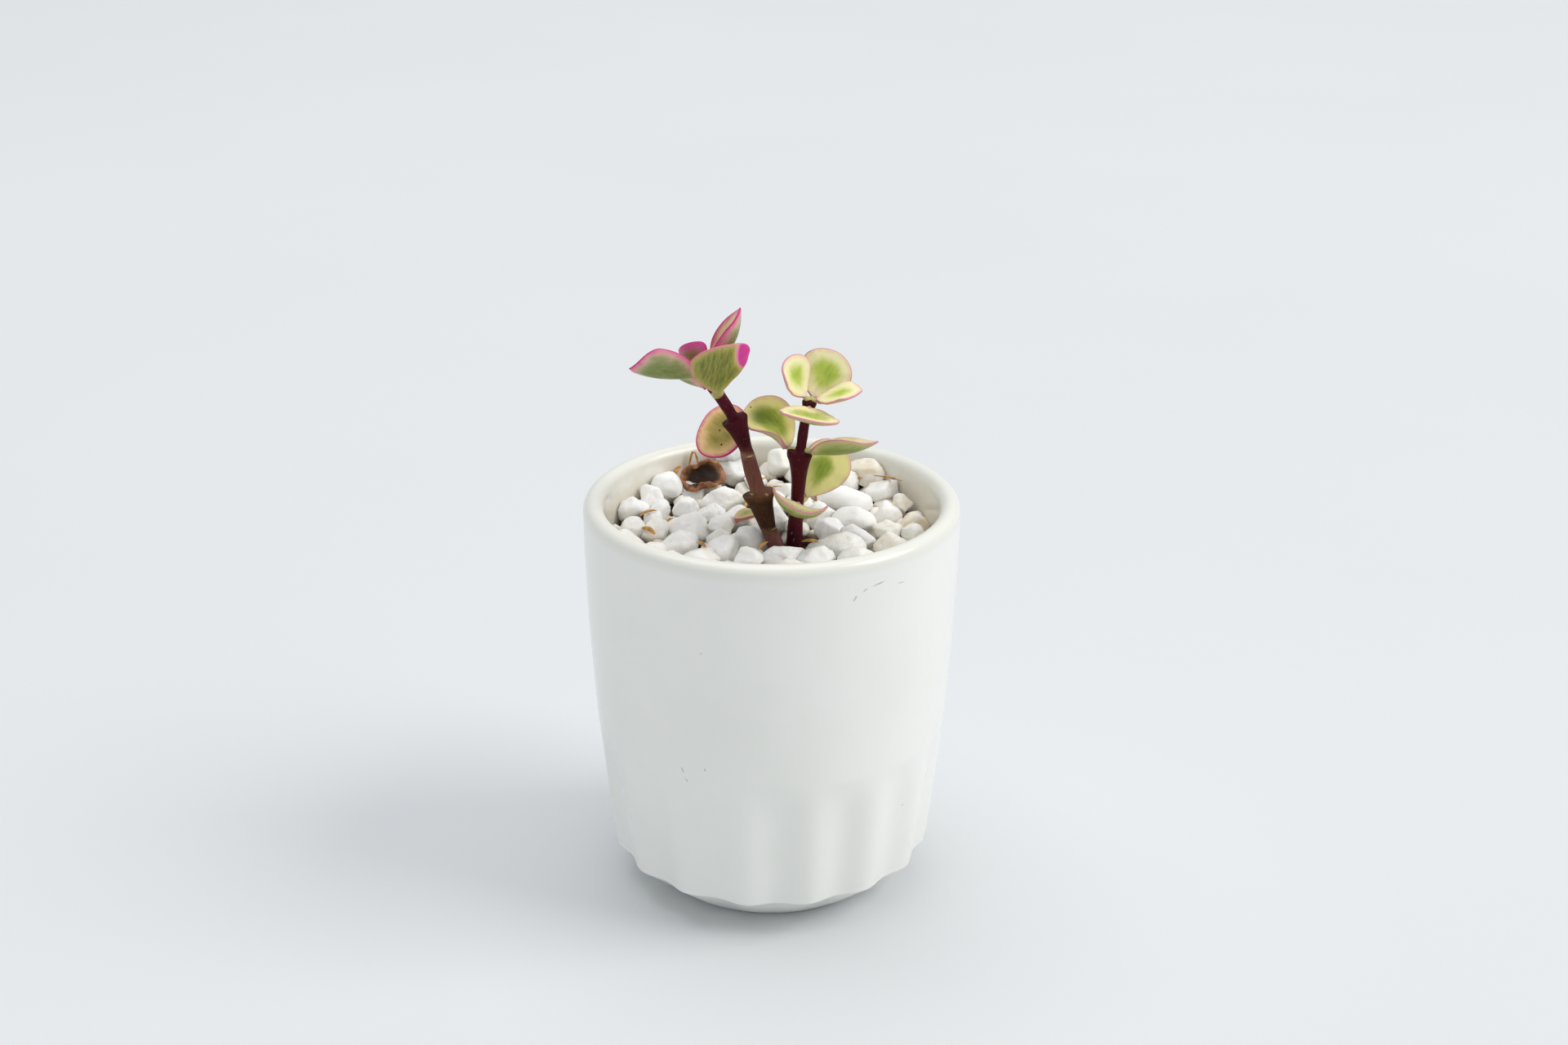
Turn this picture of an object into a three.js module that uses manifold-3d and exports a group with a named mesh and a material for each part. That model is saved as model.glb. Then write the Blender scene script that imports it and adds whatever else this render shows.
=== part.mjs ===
// Two rooted cuttings of variegated elephant bush in a small fluted white pot
// with a top dressing of white marble gravel.
// Millimetres, +Z up, +X right, -Y towards the viewer. The origin is the middle of the pot's foot.

import * as THREE from "three";
import { mergeVertices } from "three/addons/utils/BufferGeometryUtils.js";
import Module from "manifold-3d";

const wasm = await Module();
wasm.setup();

// ---------------------------------------------------------------------------
// Driving dimensions
// ---------------------------------------------------------------------------

const POT = {
  height: 88,
  rimRadius: 40,
  edgeRadius: 34.8, // at the bottom edge of the flutes
  edgeHeight: 8.6,
  footRadius: 24.1,
  footRingWidth: 6,
  footRecess: 1.4,
  wall: 4.3,
  floorTop: 7,
  floorInset: 9, // the flat floor inside ends this far in from the wall,
  bendInset: 4, // and the corner is cut across here,
  bendRise: 1.6, // this much higher
};

const FLUTES = {
  count: 16,
  turn: -8.5, // degrees from the front to the nearest ridge
  depth: 1.25, // in the middle of a flute
  fullHeight: 25, // the flutes are full depth up to here
  topHeight: 38, // and run out in round arches here
};

// Heights of the rings that the pot is built on, and degrees round its lip, from outside.
const RINGS = {
  fluted: [POT.edgeHeight, 16, FLUTES.fullHeight, 29, 32.5, 35.5, FLUTES.topHeight],
  plain: [52, 70],
  inner: [14, 26, 46, 68],
  lip: [0, 35, 70, 110, 145, 180],
};

const SOIL = { top: 75.6, slope: 0.06 }; // the bed rises a little towards the back
const FIT_GAP = 0.3; // between pieces that touch

const BLADE = {
  rim: 0.62, // thickness at the rim,
  middle: 1.5, // in the middle
  stalk: 1, // and, on top of that, at the base
  stalkReach: 0.25, // share of the length where the stalk has run out
  centre: 0.55, // share of the length where the rings close
  rings: [0.4, 0.75, 1], // shares of the way from the centre to the rim
};

const SIDES = { pot: 64, soil: 48, stem: 10, leaf: 20, pebble: 7, straw: 5 };

const SEED = 20617;

// ---------------------------------------------------------------------------
// Helpers: rings of points skinned into closed bodies, and joins and cuts
// ---------------------------------------------------------------------------

const vector = (x, y, z) => new THREE.Vector3(x, y, z);
const degrees = THREE.MathUtils.degToRad;
const mix = THREE.MathUtils.lerp;

// Numbers from 0 to 1, the same ones each run.
function seededNumbers(seed) {
  let state = seed;
  return () => {
    state = (state * 1664525 + 1013904223) % 4294967296;
    return state / 4294967296;
  };
}

// A closed body through rings of points, lowest ring first, each counterclockwise from above.
// The first and last ring are single points. From ring flipFrom on, the quads are split along
// their other diagonal, so a thin blade has the same triangles on both of its faces.
function skin(rings, flipFrom = Infinity) {
  const positions = [];
  const triangles = [];
  const starts = [];
  for (const ring of rings) {
    starts.push(positions.length / 3);
    for (const point of ring) positions.push(point.x, point.y, point.z);
  }
  for (let i = 0; i + 1 < rings.length; i++) {
    const lower = rings[i].length;
    const upper = rings[i + 1].length;
    const count = Math.max(lower, upper);
    for (let j = 0; j < count; j++) {
      const k = (j + 1) % count;
      const a = starts[i] + (lower > 1 ? j : 0);
      const b = starts[i] + (lower > 1 ? k : 0);
      const c = starts[i + 1] + (upper > 1 ? k : 0);
      const d = starts[i + 1] + (upper > 1 ? j : 0);
      if (lower === 1) triangles.push(a, c, d);
      else if (upper === 1) triangles.push(a, b, c);
      else if (i < flipFrom) triangles.push(a, b, c, a, c, d);
      else triangles.push(a, b, d, b, c, d);
    }
  }
  const geometry = new THREE.BufferGeometry();
  geometry.setAttribute("position", new THREE.Float32BufferAttribute(positions, 3));
  geometry.setIndex(triangles);
  return geometry;
}

// A level ring of points round the Z axis, with the radius given by a function of the angle.
function levelRing(count, firstAngle, radiusAt, heightAt) {
  const ring = [];
  for (let i = 0; i < count; i++) {
    const angle = firstAngle + (2 * Math.PI * i) / count;
    const radius = radiusAt(angle);
    const x = radius * Math.sin(angle);
    const y = -radius * Math.cos(angle);
    ring.push(vector(x, y, heightAt(x, y)));
  }
  return ring;
}

function solidOf(geometry) {
  const merged = mergeVertices(geometry, 1e-4);
  return new wasm.Manifold(
    new wasm.Mesh({
      numProp: 3,
      vertProperties: merged.attributes.position.array,
      triVerts: new Uint32Array(merged.index.array),
    }),
  );
}

function geometryOf(solid) {
  const mesh = solid.getMesh();
  const positions = [];
  for (let i = 0; i < mesh.numVert; i++) {
    positions.push(...mesh.vertProperties.slice(i * mesh.numProp, i * mesh.numProp + 3));
  }
  const geometry = new THREE.BufferGeometry();
  geometry.setAttribute("position", new THREE.Float32BufferAttribute(positions, 3));
  geometry.setIndex([...mesh.triVerts]);
  return geometry;
}

// The largest body of a solid: loose scraps from a cut are dropped.
function largestBody(solid) {
  return solid.decompose().reduce((best, body) => (body.volume() > best.volume() ? body : best));
}

const plant = new THREE.Group();

function addPiece(name, geometry, color, roughness) {
  const material = new THREE.MeshStandardMaterial({ color, roughness, metalness: 0 });
  const mesh = new THREE.Mesh(geometry, material);
  mesh.name = name;
  plant.add(mesh);
  return mesh;
}

// ---------------------------------------------------------------------------
// Pot: a turned cup with hollow flutes cut round its lower part
// ---------------------------------------------------------------------------

// The plain wall swells from the flutes' edge and stands upright at the rim.
function wallRadius(z) {
  const below = (POT.height - z) / (POT.height - POT.edgeHeight);
  return POT.rimRadius - (POT.rimRadius - POT.edgeRadius) * below * below;
}

// How deep the flutes cut at an angle and a height: each is a hollow that thins towards its
// top, so its sharp edges close in a round arch.
function fluteDepth(angle, z) {
  const width = (2 * Math.PI) / FLUTES.count;
  const turns = (angle - degrees(FLUTES.turn)) / width;
  const across = turns - Math.floor(turns) - 0.5;
  const climb = Math.max(0, (z - FLUTES.fullHeight) / (FLUTES.topHeight - FLUTES.fullHeight));
  return Math.max(0, FLUTES.depth * (1 - climb * climb - 4 * across * across));
}

function potGeometry() {
  const firstAngle = degrees(FLUTES.turn);
  const ring = (z, radiusAt) => levelRing(SIDES.pot, firstAngle, radiusAt, () => z);
  const plain = (z, radius) => ring(z, () => radius);
  const fluted = (z) => ring(z, (angle) => wallRadius(z) - fluteDepth(angle, z));
  const lip = POT.wall / 2;
  const lipRing = (turn) =>
    plain(
      POT.height - lip + lip * Math.sin(degrees(turn)),
      POT.rimRadius - lip + lip * Math.cos(degrees(turn)),
    );
  const inner = (z) => plain(z, wallRadius(z) - POT.wall);
  const ringInside = POT.footRadius - POT.footRingWidth;
  const insideBottom = wallRadius(POT.edgeHeight) - POT.wall;
  return skin([
    [vector(0, 0, POT.footRecess)],
    plain(POT.footRecess, ringInside - POT.footRecess),
    plain(0, ringInside),
    plain(0, POT.footRadius),
    ...RINGS.fluted.map(fluted),
    ...RINGS.plain.map((z) => plain(z, wallRadius(z))),
    ...RINGS.lip.map(lipRing),
    ...RINGS.inner.toReversed().map(inner),
    plain(POT.floorTop + POT.bendRise, insideBottom - POT.bendInset),
    plain(POT.floorTop, insideBottom - POT.floorInset),
    [vector(0, 0, POT.floorTop)],
  ]);
}

addPiece("pot", potGeometry(), new THREE.Color(0.86, 0.87, 0.87), 0.28);

// ---------------------------------------------------------------------------
// Stems: each internode is narrow at its foot and flares to a collar at its top
// ---------------------------------------------------------------------------

// [x, y, z, radius], from the buried end up.
const TALL_STEM = [
  [1.0, -6.2, 57, 1.4],
  [1.4, -5.2, 66, 1.7],
  [1.6, -4.0, 74, 1.75],
  [1.0, -3.6, 77.5, 1.75],
  [-0.4, -3.6, 81.4, 1.65],
  [-0.8, -3.6, 82.4, 1.7],
  [-2.0, -3.6, 86.6, 2.35],
  [-2.7, -3.6, 89.6, 2.9],
  [-2.8, -3.6, 90.1, 2.7],
  [-2.9, -3.6, 90.4, 1.75],
  [-4.1, -3.6, 94.6, 1.65],
  [-5.1, -3.6, 98.4, 1.5],
  [-5.5, -3.6, 99.9, 1.35],
  [-6.5, -3.6, 102.9, 1.85],
  [-7.7, -3.6, 106.0, 2.35],
  [-7.9, -3.6, 106.5, 2.2],
  [-8.1, -3.6, 106.8, 1.3],
  [-9.6, -3.6, 109.4, 1.25],
  [-11.2, -3.6, 111.9, 1.3],
  [-12.2, -3.6, 113.8, 1.6],
  [-12.8, -3.6, 115.6, 1.3],
];

const SHORT_STEM = [
  [6.0, 0.2, 57, 1.4],
  [5.4, -0.6, 67, 1.8],
  [4.9, -1.4, 76, 1.85],
  [4.9, -1.5, 79.5, 1.7],
  [5.1, -1.5, 83.5, 1.55],
  [5.3, -1.5, 86.0, 1.45],
  [5.4, -1.5, 87.2, 1.4],
  [5.6, -1.5, 91.0, 1.5],
  [5.7, -1.5, 94.0, 1.75],
  [5.8, -1.5, 96.6, 2.2],
  [5.8, -1.5, 98.0, 2.35],
  [5.9, -1.5, 98.5, 2.1],
  [6.0, -1.5, 98.9, 1.2],
  [6.4, -1.5, 102.0, 1.1],
  [7.0, -1.5, 106.0, 1.05],
  [7.5, -1.5, 108.2, 1.25],
  [7.8, -1.5, 109.6, 1.4],
  [7.9, -1.5, 110.2, 0.9],
];

// Rings across a path of [x, y, z, radius] stations, each made larger by grow.
function pathRings(stations, sides, grow = 0) {
  const centres = stations.map(([x, y, z]) => vector(x, y, z));
  return stations.map(([, , , radius], i) => {
    const before = centres[Math.max(0, i - 1)];
    const after = centres[Math.min(centres.length - 1, i + 1)];
    const along = after.clone().sub(before).normalize();
    const atEnd = i === 0 ? -1 : Number(i === centres.length - 1);
    const centre = centres[i].clone().addScaledVector(along, atEnd * grow);
    const back = vector(0, 1, 0).addScaledVector(along, -along.y).normalize();
    const right = back.clone().cross(along);
    const ring = [];
    for (let j = 0; j < sides; j++) {
      const angle = (2 * Math.PI * j) / sides;
      const point = centre.clone();
      point.addScaledVector(right, (radius + grow) * Math.cos(angle));
      point.addScaledVector(back, (radius + grow) * Math.sin(angle));
      ring.push(point);
    }
    return ring;
  });
}

function pathGeometry(stations, sides, grow = 0) {
  const rings = pathRings(stations, sides, grow);
  const middle = (ring) => ring.reduce((sum, point) => sum.add(point), vector(0, 0, 0));
  const end = (ring) => [middle(ring).divideScalar(sides)];
  return skin([end(rings[0]), ...rings, end(rings.at(-1))]);
}

addPiece("tall_stem", pathGeometry(TALL_STEM, SIDES.stem), new THREE.Color(0.1, 0.025, 0.03), 0.6);
addPiece("short_stem", pathGeometry(SHORT_STEM, SIDES.stem), new THREE.Color(0.07, 0.012, 0.02), 0.6);

// ---------------------------------------------------------------------------
// Leaves: thin cupped blades, widest past the middle
// ---------------------------------------------------------------------------

// base and tip are the ends of the midrib. roll turns the blade about its midrib from face-up,
// in degrees, and twist is how much more it has turned at the tip than at the base. width and
// cup are [left, right], seen on the upper face with the tip up: width in mm from the midrib
// along the blade, cup in degrees turned by the margin. bow lifts the middle of the midrib
// towards the upper face, and sway moves it to the left. fold is [left, right], how many degrees
// deeper the cup is at the base. widest is a share of the length. foot and point say how the
// outline narrows to its ends: under 1 round, over 1 hollow.
const LEAVES = [
  {
    name: "short_leaf_top_left",
    base: [6.9, -2.2, 110.6], tip: [2.8, -3.6, 119.5],
    roll: -60, twist: 0, width: [4.5, 5], cup: [50, 20], bow: -0.5, sway: 0, foot: 1.1,
  },
  {
    name: "short_leaf_top_back",
    base: [8.3, 0.2, 110], tip: [14, 2.5, 118.9],
    roll: 65, twist: 0, width: [6, 5.2], cup: [15, 20], bow: -0.5, sway: 0,
  },
  {
    name: "short_leaf_top_right",
    base: [9.1, -2, 110], tip: [18.6, -5, 113.2],
    roll: 16, twist: 0, width: [3.8, 4.2], cup: [25, 30], bow: 0, sway: 0, foot: 0.9, point: 0.9,
  },
  {
    name: "short_leaf_upper_front",
    base: [7.7, -3.4, 108.5], tip: [9.1, -13.5, 109.2],
    roll: -14, twist: 0, width: [5.6, 7.2], cup: [20, 6], bow: -0.8, sway: 0,
    foot: 0.4, point: 0.36,
  },
  {
    name: "short_leaf_middle_left",
    base: [3.4, -0.9, 99.2], tip: [-4.4, 3.4, 108],
    roll: -40, twist: -60, width: [6.3, 5], cup: [60, 20], bow: 0, sway: -0.8,
    fold: [110, 0], foot: 0.5,
  },
  {
    name: "short_leaf_middle_right",
    base: [8.3, -2, 98.8], tip: [22.1, -6, 102.5],
    roll: -12, twist: 0, width: [4.8, 5], cup: [70, 75], bow: -0.9, sway: 0,
    widest: 0.38, foot: 0.6, point: 0.9,
  },
  {
    name: "short_leaf_low_back",
    base: [7.3, 1.4, 87], tip: [12.8, 4.3, 99.2],
    roll: 75, twist: 0, width: [5, 6.5], cup: [30, 20], bow: 0, sway: 0, foot: 0.95,
  },
  {
    name: "short_leaf_low_front",
    base: [5.5, -3.4, 87.3], tip: [5.2, -13, 90],
    roll: -25, twist: 0, width: [7.6, 7], cup: [75, 45], bow: -1.3, sway: 0,
  },
  {
    name: "tall_leaf_left",
    base: [-14.4, -4.4, 116.4], tip: [-29.3, -6, 118],
    roll: 45, twist: 0, width: [6, 5.7], cup: [70, 80], bow: -0.6, sway: 0, point: 1.1,
  },
  {
    name: "tall_leaf_peak",
    base: [-13.2, -3, 116.8], tip: [-6.6, -4.5, 130.6],
    roll: 8, twist: 0, width: [5.4, 4.8], cup: [100, 75], bow: -1.5, sway: 0,
    widest: 0.44, point: 0.8,
  },
  {
    name: "tall_leaf_front",
    base: [-11.3, -6.1, 112.8], tip: [-8.4, -11, 124.8],
    roll: 0, twist: 0, width: [6.1, 7.8], cup: [20, 15], bow: 0, sway: 0,
    widest: 0.66, foot: 1, point: 0.45,
  },
  {
    name: "tall_leaf_bud",
    base: [-15, -2.6, 117], tip: [-18.4, -1.8, 121.8],
    roll: 60, twist: 0, width: [4.8, 4.8], cup: [35, 35], bow: 0, sway: 0,
  },
  {
    name: "tall_leaf_low_left",
    base: [-13.5, -1.9, 112.8], tip: [-20.8, 2.6, 114.2],
    roll: 42, twist: 0, width: [3, 2.6], cup: [40, 40], bow: 0, sway: 0,
  },
  {
    name: "tall_leaf_back",
    base: [-6.1, -0.2, 100.4], tip: [-14, 3.8, 104.6],
    roll: -50, twist: 0, width: [7.8, 5.4], cup: [25, 10], bow: 0, sway: 0,
    widest: 0.5, foot: 0.38,
  },
];

const BLUNT = { widest: 0.6, foot: 0.7, point: 0.55 }; // the usual outline, wedge to round tip
const NO_FOLD = [0, 0];
const FOLD_REACH = 0.6; // share of the length where a fold has run out
const SLOPE_STEP = 0.02; // how far apart two points are whose difference gives a slope

// The half width at a share u of the length, 0 at both ends and 1 at the widest place.
function outlineShare(u, leaf) {
  const { widest, foot, point } = { ...BLUNT, ...leaf };
  const nearBase = u < widest;
  const share = nearBase ? u / widest : (1 - u) / (1 - widest);
  return (1 - (1 - share) ** 2) ** (nearBase ? foot : point);
}

// The middle surface of a blade, as a function of the share u along it and the mm across it.
function bladeSurface(leaf) {
  const base = vector(...leaf.base);
  const along = vector(...leaf.tip).sub(base);
  const length = along.length();
  along.normalize();
  const face = vector(0, 0, 1).addScaledVector(along, -along.z).normalize();
  face.applyAxisAngle(along, degrees(leaf.roll));
  return (u, across) => {
    const up = face.clone().applyAxisAngle(along, degrees(leaf.twist) * (u - 0.5));
    const left = up.clone().cross(along);
    const side = across > 0 ? 0 : 1;
    const deeper = (leaf.fold ?? NO_FOLD)[side] * Math.max(0, 1 - u / FOLD_REACH);
    const radius = leaf.width[side] / degrees(leaf.cup[side] + deeper);
    const turn = across / radius;
    const arch = 4 * u * (1 - u);
    const point = base.clone().addScaledVector(along, length * u);
    point.addScaledVector(up, leaf.bow * arch + radius * (1 - Math.cos(turn)));
    return point.addScaledVector(left, leaf.sway * arch + radius * Math.sin(turn));
  };
}

function leafGeometry(leaf, grow = 0) {
  const surface = bladeSurface(leaf);
  const step = SLOPE_STEP;
  const pointAt = (share, turn, sign) => {
    const rimU = 0.5 + 0.5 * Math.cos(turn);
    const side = Math.sin(turn) > 0 ? 0 : 1;
    const rimAcross = Math.sign(Math.sin(turn)) * leaf.width[side] * outlineShare(rimU, leaf);
    const u = mix(BLADE.centre, rimU, share);
    const across = rimAcross * share;
    const alongStep = surface(u + step, across).sub(surface(u - step, across));
    const acrossStep = surface(u, across + step).sub(surface(u, across - step));
    const normal = alongStep.cross(acrossStep).normalize();
    const stalk = BLADE.stalk * Math.max(0, 1 - u / BLADE.stalkReach) ** 2;
    const thickness = mix(BLADE.middle, BLADE.rim, share * share) + stalk + grow;
    return surface(u, across).addScaledVector(normal, (sign * thickness) / 2);
  };
  const ring = (share, sign) => {
    const points = [];
    for (let i = 0; i < SIDES.leaf; i++) {
      points.push(pointAt(share, (2 * Math.PI * i) / SIDES.leaf, sign));
    }
    return points;
  };
  const under = BLADE.rings.map((share) => ring(share, -1));
  const over = BLADE.rings.toReversed().map((share) => ring(share, 1));
  const firstOver = 1 + under.length;
  return skin([[pointAt(0, 0, -1)], ...under, ...over, [pointAt(0, 0, 1)]], firstOver);
}

for (const leaf of LEAVES) {
  const tall = leaf.name.startsWith("tall");
  const color = tall ? new THREE.Color(0.38, 0.2, 0.14) : new THREE.Color(0.42, 0.47, 0.14);
  addPiece(leaf.name, leafGeometry(leaf), color, 0.5);
}

// ---------------------------------------------------------------------------
// What lies on the gravel: a fallen fresh leaf, a dried curled leaf and bits of straw
// ---------------------------------------------------------------------------

const FALLEN_LEAF = {
  name: "fallen_leaf",
  base: [-8, 3.4, 81], tip: [-3.2, 6.4, 81.5],
  roll: 5, twist: 0, width: [2.2, 2.2], cup: [30, 30], bow: 0.3, sway: 0,
};

const DRIED_LEAF = {
  name: "dried_leaf",
  base: [-20.5, 22.2, 82.8], tip: [-10.5, 24.8, 83.4],
  roll: 40, twist: -30, width: [6, 5.2], cup: [150, 90], bow: -0.6, sway: 0, widest: 0.45,
};

// Each runs from one point to another, with its middle lifted by arch.
const STRAWS = [
  { name: "straw_loop", from: [-19.2, 29.2, 81.4], to: [-16.4, 29.2, 81.4], arch: 6, radius: 0.5 },
  { name: "straw_back", from: [-4.8, 20.5, 82.2], to: [-1.6, 22.5, 83.6], arch: 0.4, radius: 0.55 },
  { name: "straw_middle", from: [-4.2, 13.5, 81.4], to: [-0.6, 14.5, 81.6], arch: 0.5, radius: 0.5 },
  { name: "straw_by_stem", from: [6.4, -5.2, 79.6], to: [9.8, -7.6, 80.6], arch: 0.3, radius: 0.65 },
  { name: "straw_left", from: [-28.6, 5.4, 81], to: [-25, 7.6, 81.4], arch: 0.5, radius: 0.5 },
  { name: "straw_right", from: [16.6, 24.5, 82.4], to: [20, 24.8, 82.8], arch: 0.3, radius: 0.5 },
  { name: "straw_upright", from: [9.6, 16.4, 80.4], to: [9.8, 17, 83.6], arch: 0, radius: 0.45 },
  { name: "straw_front", from: [-15.6, -7.6, 80.2], to: [-13.8, -11.4, 80.8], arch: 0.4, radius: 0.55 },
];

const STRAW_TIP = 0.35; // a straw's radius at its ends, as a share of its middle's

// Thickest in the middle and thin at both ends.
function strawStations({ from, to, arch, radius }) {
  const stations = [];
  for (const u of [0, 0.25, 0.5, 0.75, 1]) {
    const [x, y, z] = from.map((start, axis) => mix(start, to[axis], u));
    const bulge = 4 * u * (1 - u);
    stations.push([x, y, z + arch * bulge, radius * mix(STRAW_TIP, 1, bulge)]);
  }
  return stations;
}

addPiece("fallen_leaf", leafGeometry(FALLEN_LEAF), new THREE.Color(0.4, 0.42, 0.16), 0.5);
addPiece("dried_leaf", leafGeometry(DRIED_LEAF), new THREE.Color(0.3, 0.12, 0.05), 0.7);
for (const straw of STRAWS) {
  const geometry = pathGeometry(strawStations(straw), SIDES.straw);
  addPiece(straw.name, geometry, new THREE.Color(0.5, 0.28, 0.1), 0.7);
}

// ---------------------------------------------------------------------------
// Soil, with a plain hole for each stem
// ---------------------------------------------------------------------------

const soilTop = (x, y) => SOIL.top + SOIL.slope * y;
const bedRadius = (z) => wallRadius(z) - POT.wall - FIT_GAP;

// The stems and the scraps, each larger all round by the gap that is kept to it.
function grownStems() {
  const tall = pathGeometry(TALL_STEM, SIDES.stem, FIT_GAP);
  const short = pathGeometry(SHORT_STEM, SIDES.stem, FIT_GAP);
  return solidOf(tall).add(solidOf(short));
}

function grownScraps() {
  const solids = STRAWS.map((straw) =>
    solidOf(pathGeometry(strawStations(straw), SIDES.straw, FIT_GAP)),
  );
  for (const leaf of [FALLEN_LEAF, DRIED_LEAF]) {
    const width = leaf.width.map((across) => across + FIT_GAP);
    const cup = leaf.cup.map((turn, side) => (turn * width[side]) / leaf.width[side]);
    const ends = [vector(...leaf.base), vector(...leaf.tip)];
    const longer = ends[1].clone().sub(ends[0]).setLength(FIT_GAP);
    const base = ends[0].sub(longer).toArray();
    const tip = ends[1].add(longer).toArray();
    solids.push(solidOf(leafGeometry({ ...leaf, base, tip, width, cup }, 2 * FIT_GAP)));
  }
  return solids.reduce((all, solid) => all.add(solid));
}

function soilGeometry() {
  const ring = (z, radius) => levelRing(SIDES.soil, 0, () => radius, () => z);
  const floor = POT.floorTop + FIT_GAP;
  const body = skin([
    [vector(0, 0, floor)],
    ring(floor, bedRadius(POT.edgeHeight) - POT.floorInset),
    ring(floor + POT.bendRise, bedRadius(POT.edgeHeight) - POT.bendInset),
    ...RINGS.inner.map((z) => ring(z, bedRadius(z))),
    levelRing(SIDES.soil, 0, () => bedRadius(SOIL.top), soilTop),
    [vector(0, 0, SOIL.top)],
  ]);
  return geometryOf(largestBody(solidOf(body).subtract(grownStems())));
}

addPiece("soil", soilGeometry(), new THREE.Color(0.05, 0.03, 0.02), 0.95);

// ---------------------------------------------------------------------------
// Gravel: a bed of marble pebbles, heaped towards the back
// ---------------------------------------------------------------------------

// The stones that show, as [x, y, width, depth, height, turn, rise]: turn in degrees about Z,
// rise over the rest of the bed.
const SHOWN_STONES = [
  [-30.5, 12.5, 6.5, 6, 5.5, 0, 0],
  [-27, 17.5, 5, 6, 6, 20, 0],
  [-23.5, 22, 6, 6.5, 6, 30, 0],
  [-24.5, 12, 5.5, 5, 4.5, 0, 0],
  [-29.5, 2, 5.5, 5.5, 5, 10, 0],
  [-25, 1, 5.5, 6, 5, 40, 0],
  [-19.5, -4.5, 8, 7, 5.5, 15, 0],
  [-19, 13, 5, 4.5, 5, 0, 0],
  [-17.5, 3.5, 8, 8.5, 6, 20, 0],
  [-18, 23, 7, 6, 6, 0, -1.8],
  [-10.5, 17, 10, 6, 5.5, 0, 0],
  [-9, 28.5, 7, 6, 6, 0, 0],
  [-9.5, 31, 7.5, 5.5, 5, 0, 3.6],
  [-13.5, 9.5, 6, 5.5, 5, 30, 0],
  [-11, 3, 5, 4, 5, 0, 0],
  [-8, 7.5, 7, 6, 5.5, 50, 0],
  [-5.5, -2.5, 7, 6, 5.5, 30, 0],
  [-10, -8, 7, 6, 5.5, 0, 0],
  [-5, -12.5, 6, 6, 5, 20, 0],
  [2.5, -11, 8.5, 6.5, 5.5, 0, 0],
  [9.5, -11.5, 8.5, 6, 5.5, -10, 0],
  [13.5, -6, 11, 7, 6, 5, 0],
  [10.5, 9, 6.5, 6, 6, 0, 0],
  [15.5, 16.5, 11.5, 8, 7.5, -15, 0],
  [18, 6.5, 9, 7.5, 6, -20, 0],
  [18, -2, 8, 5.5, 5.5, -15, 0],
  [25, 21, 7.5, 6.5, 5.5, 0, 0],
  [25, 10.5, 6, 6, 5.5, 0, 0],
  [25, 2, 7, 5, 5, 0, 0],
  [25, -4.5, 7, 6.5, 5.5, 0, 0],
  [30.5, 5.5, 6.5, 5.5, 5, 0, 0],
  [30, 0.5, 4.5, 4.5, 4.5, 0, 0],
  [21, 27, 10.5, 6, 6, 0, 0.6],
  [28.5, 15.5, 4.5, 4.5, 4.5, 0, 0],
  [1.5, 30, 6.5, 6, 6, 0, 1],
  [9, 21.5, 5, 5, 5, 0, 0],
  [17, 25, 4.5, 5, 5, 0, 0],
  [1.5, 6.5, 4.5, 6, 6, 0, 0],
  [-14.5, 28, 4.5, 5, 5, 0, 0],
];

// The stones that a seeded rule fills the rest of the bed with.
const PEBBLES = {
  attempts: 2500,
  widths: [5, 8.5],
  depth: 0.85, // share of the width
  tall: 0.72, // share of the width
  closeness: 0.43, // least distance between two, as a share of their widths' sum
  reach: 32.5, // furthest centre from the axis
};

const WORN = { boxiness: 0.8, bumps: [0.93, 1.07], climbs: [-42, 8, 50] }; // climbs in degrees

const BED = {
  stoneRise: 3.4, // the stones' centres over the soil
  layerRise: 2, // the packed layer over the soil
  heapStart: 16, // behind this the stones are heaped up,
  heapSlope: 0.16, // this steeply
  roomTop: 90,
};

const backHeap = (y) => BED.heapSlope * Math.max(0, y - BED.heapStart);
const stoneHeight = (x, y) => soilTop(x, y) + BED.stoneRise + backHeap(y);

function allStones(random) {
  const stones = SHOWN_STONES.map(([x, y, width, depth, height, turn, rise]) => ({
    size: [width, depth, height],
    centre: vector(x, y, stoneHeight(x, y) + rise),
    turn,
  }));
  for (let attempt = 0; attempt < PEBBLES.attempts; attempt++) {
    const distance = PEBBLES.reach * Math.sqrt(random());
    const angle = 2 * Math.PI * random();
    const width = mix(...PEBBLES.widths, random());
    const turn = 360 * random();
    const x = distance * Math.cos(angle);
    const y = distance * Math.sin(angle);
    const clear = stones.every((other) => {
      const apart = Math.hypot(x - other.centre.x, y - other.centre.y);
      return apart > PEBBLES.closeness * (width + other.size[0]);
    });
    if (!clear) continue;
    const size = [width, PEBBLES.depth * width, PEBBLES.tall * width];
    stones.push({ size, centre: vector(x, y, stoneHeight(x, y)), turn });
  }
  return stones;
}

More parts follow.
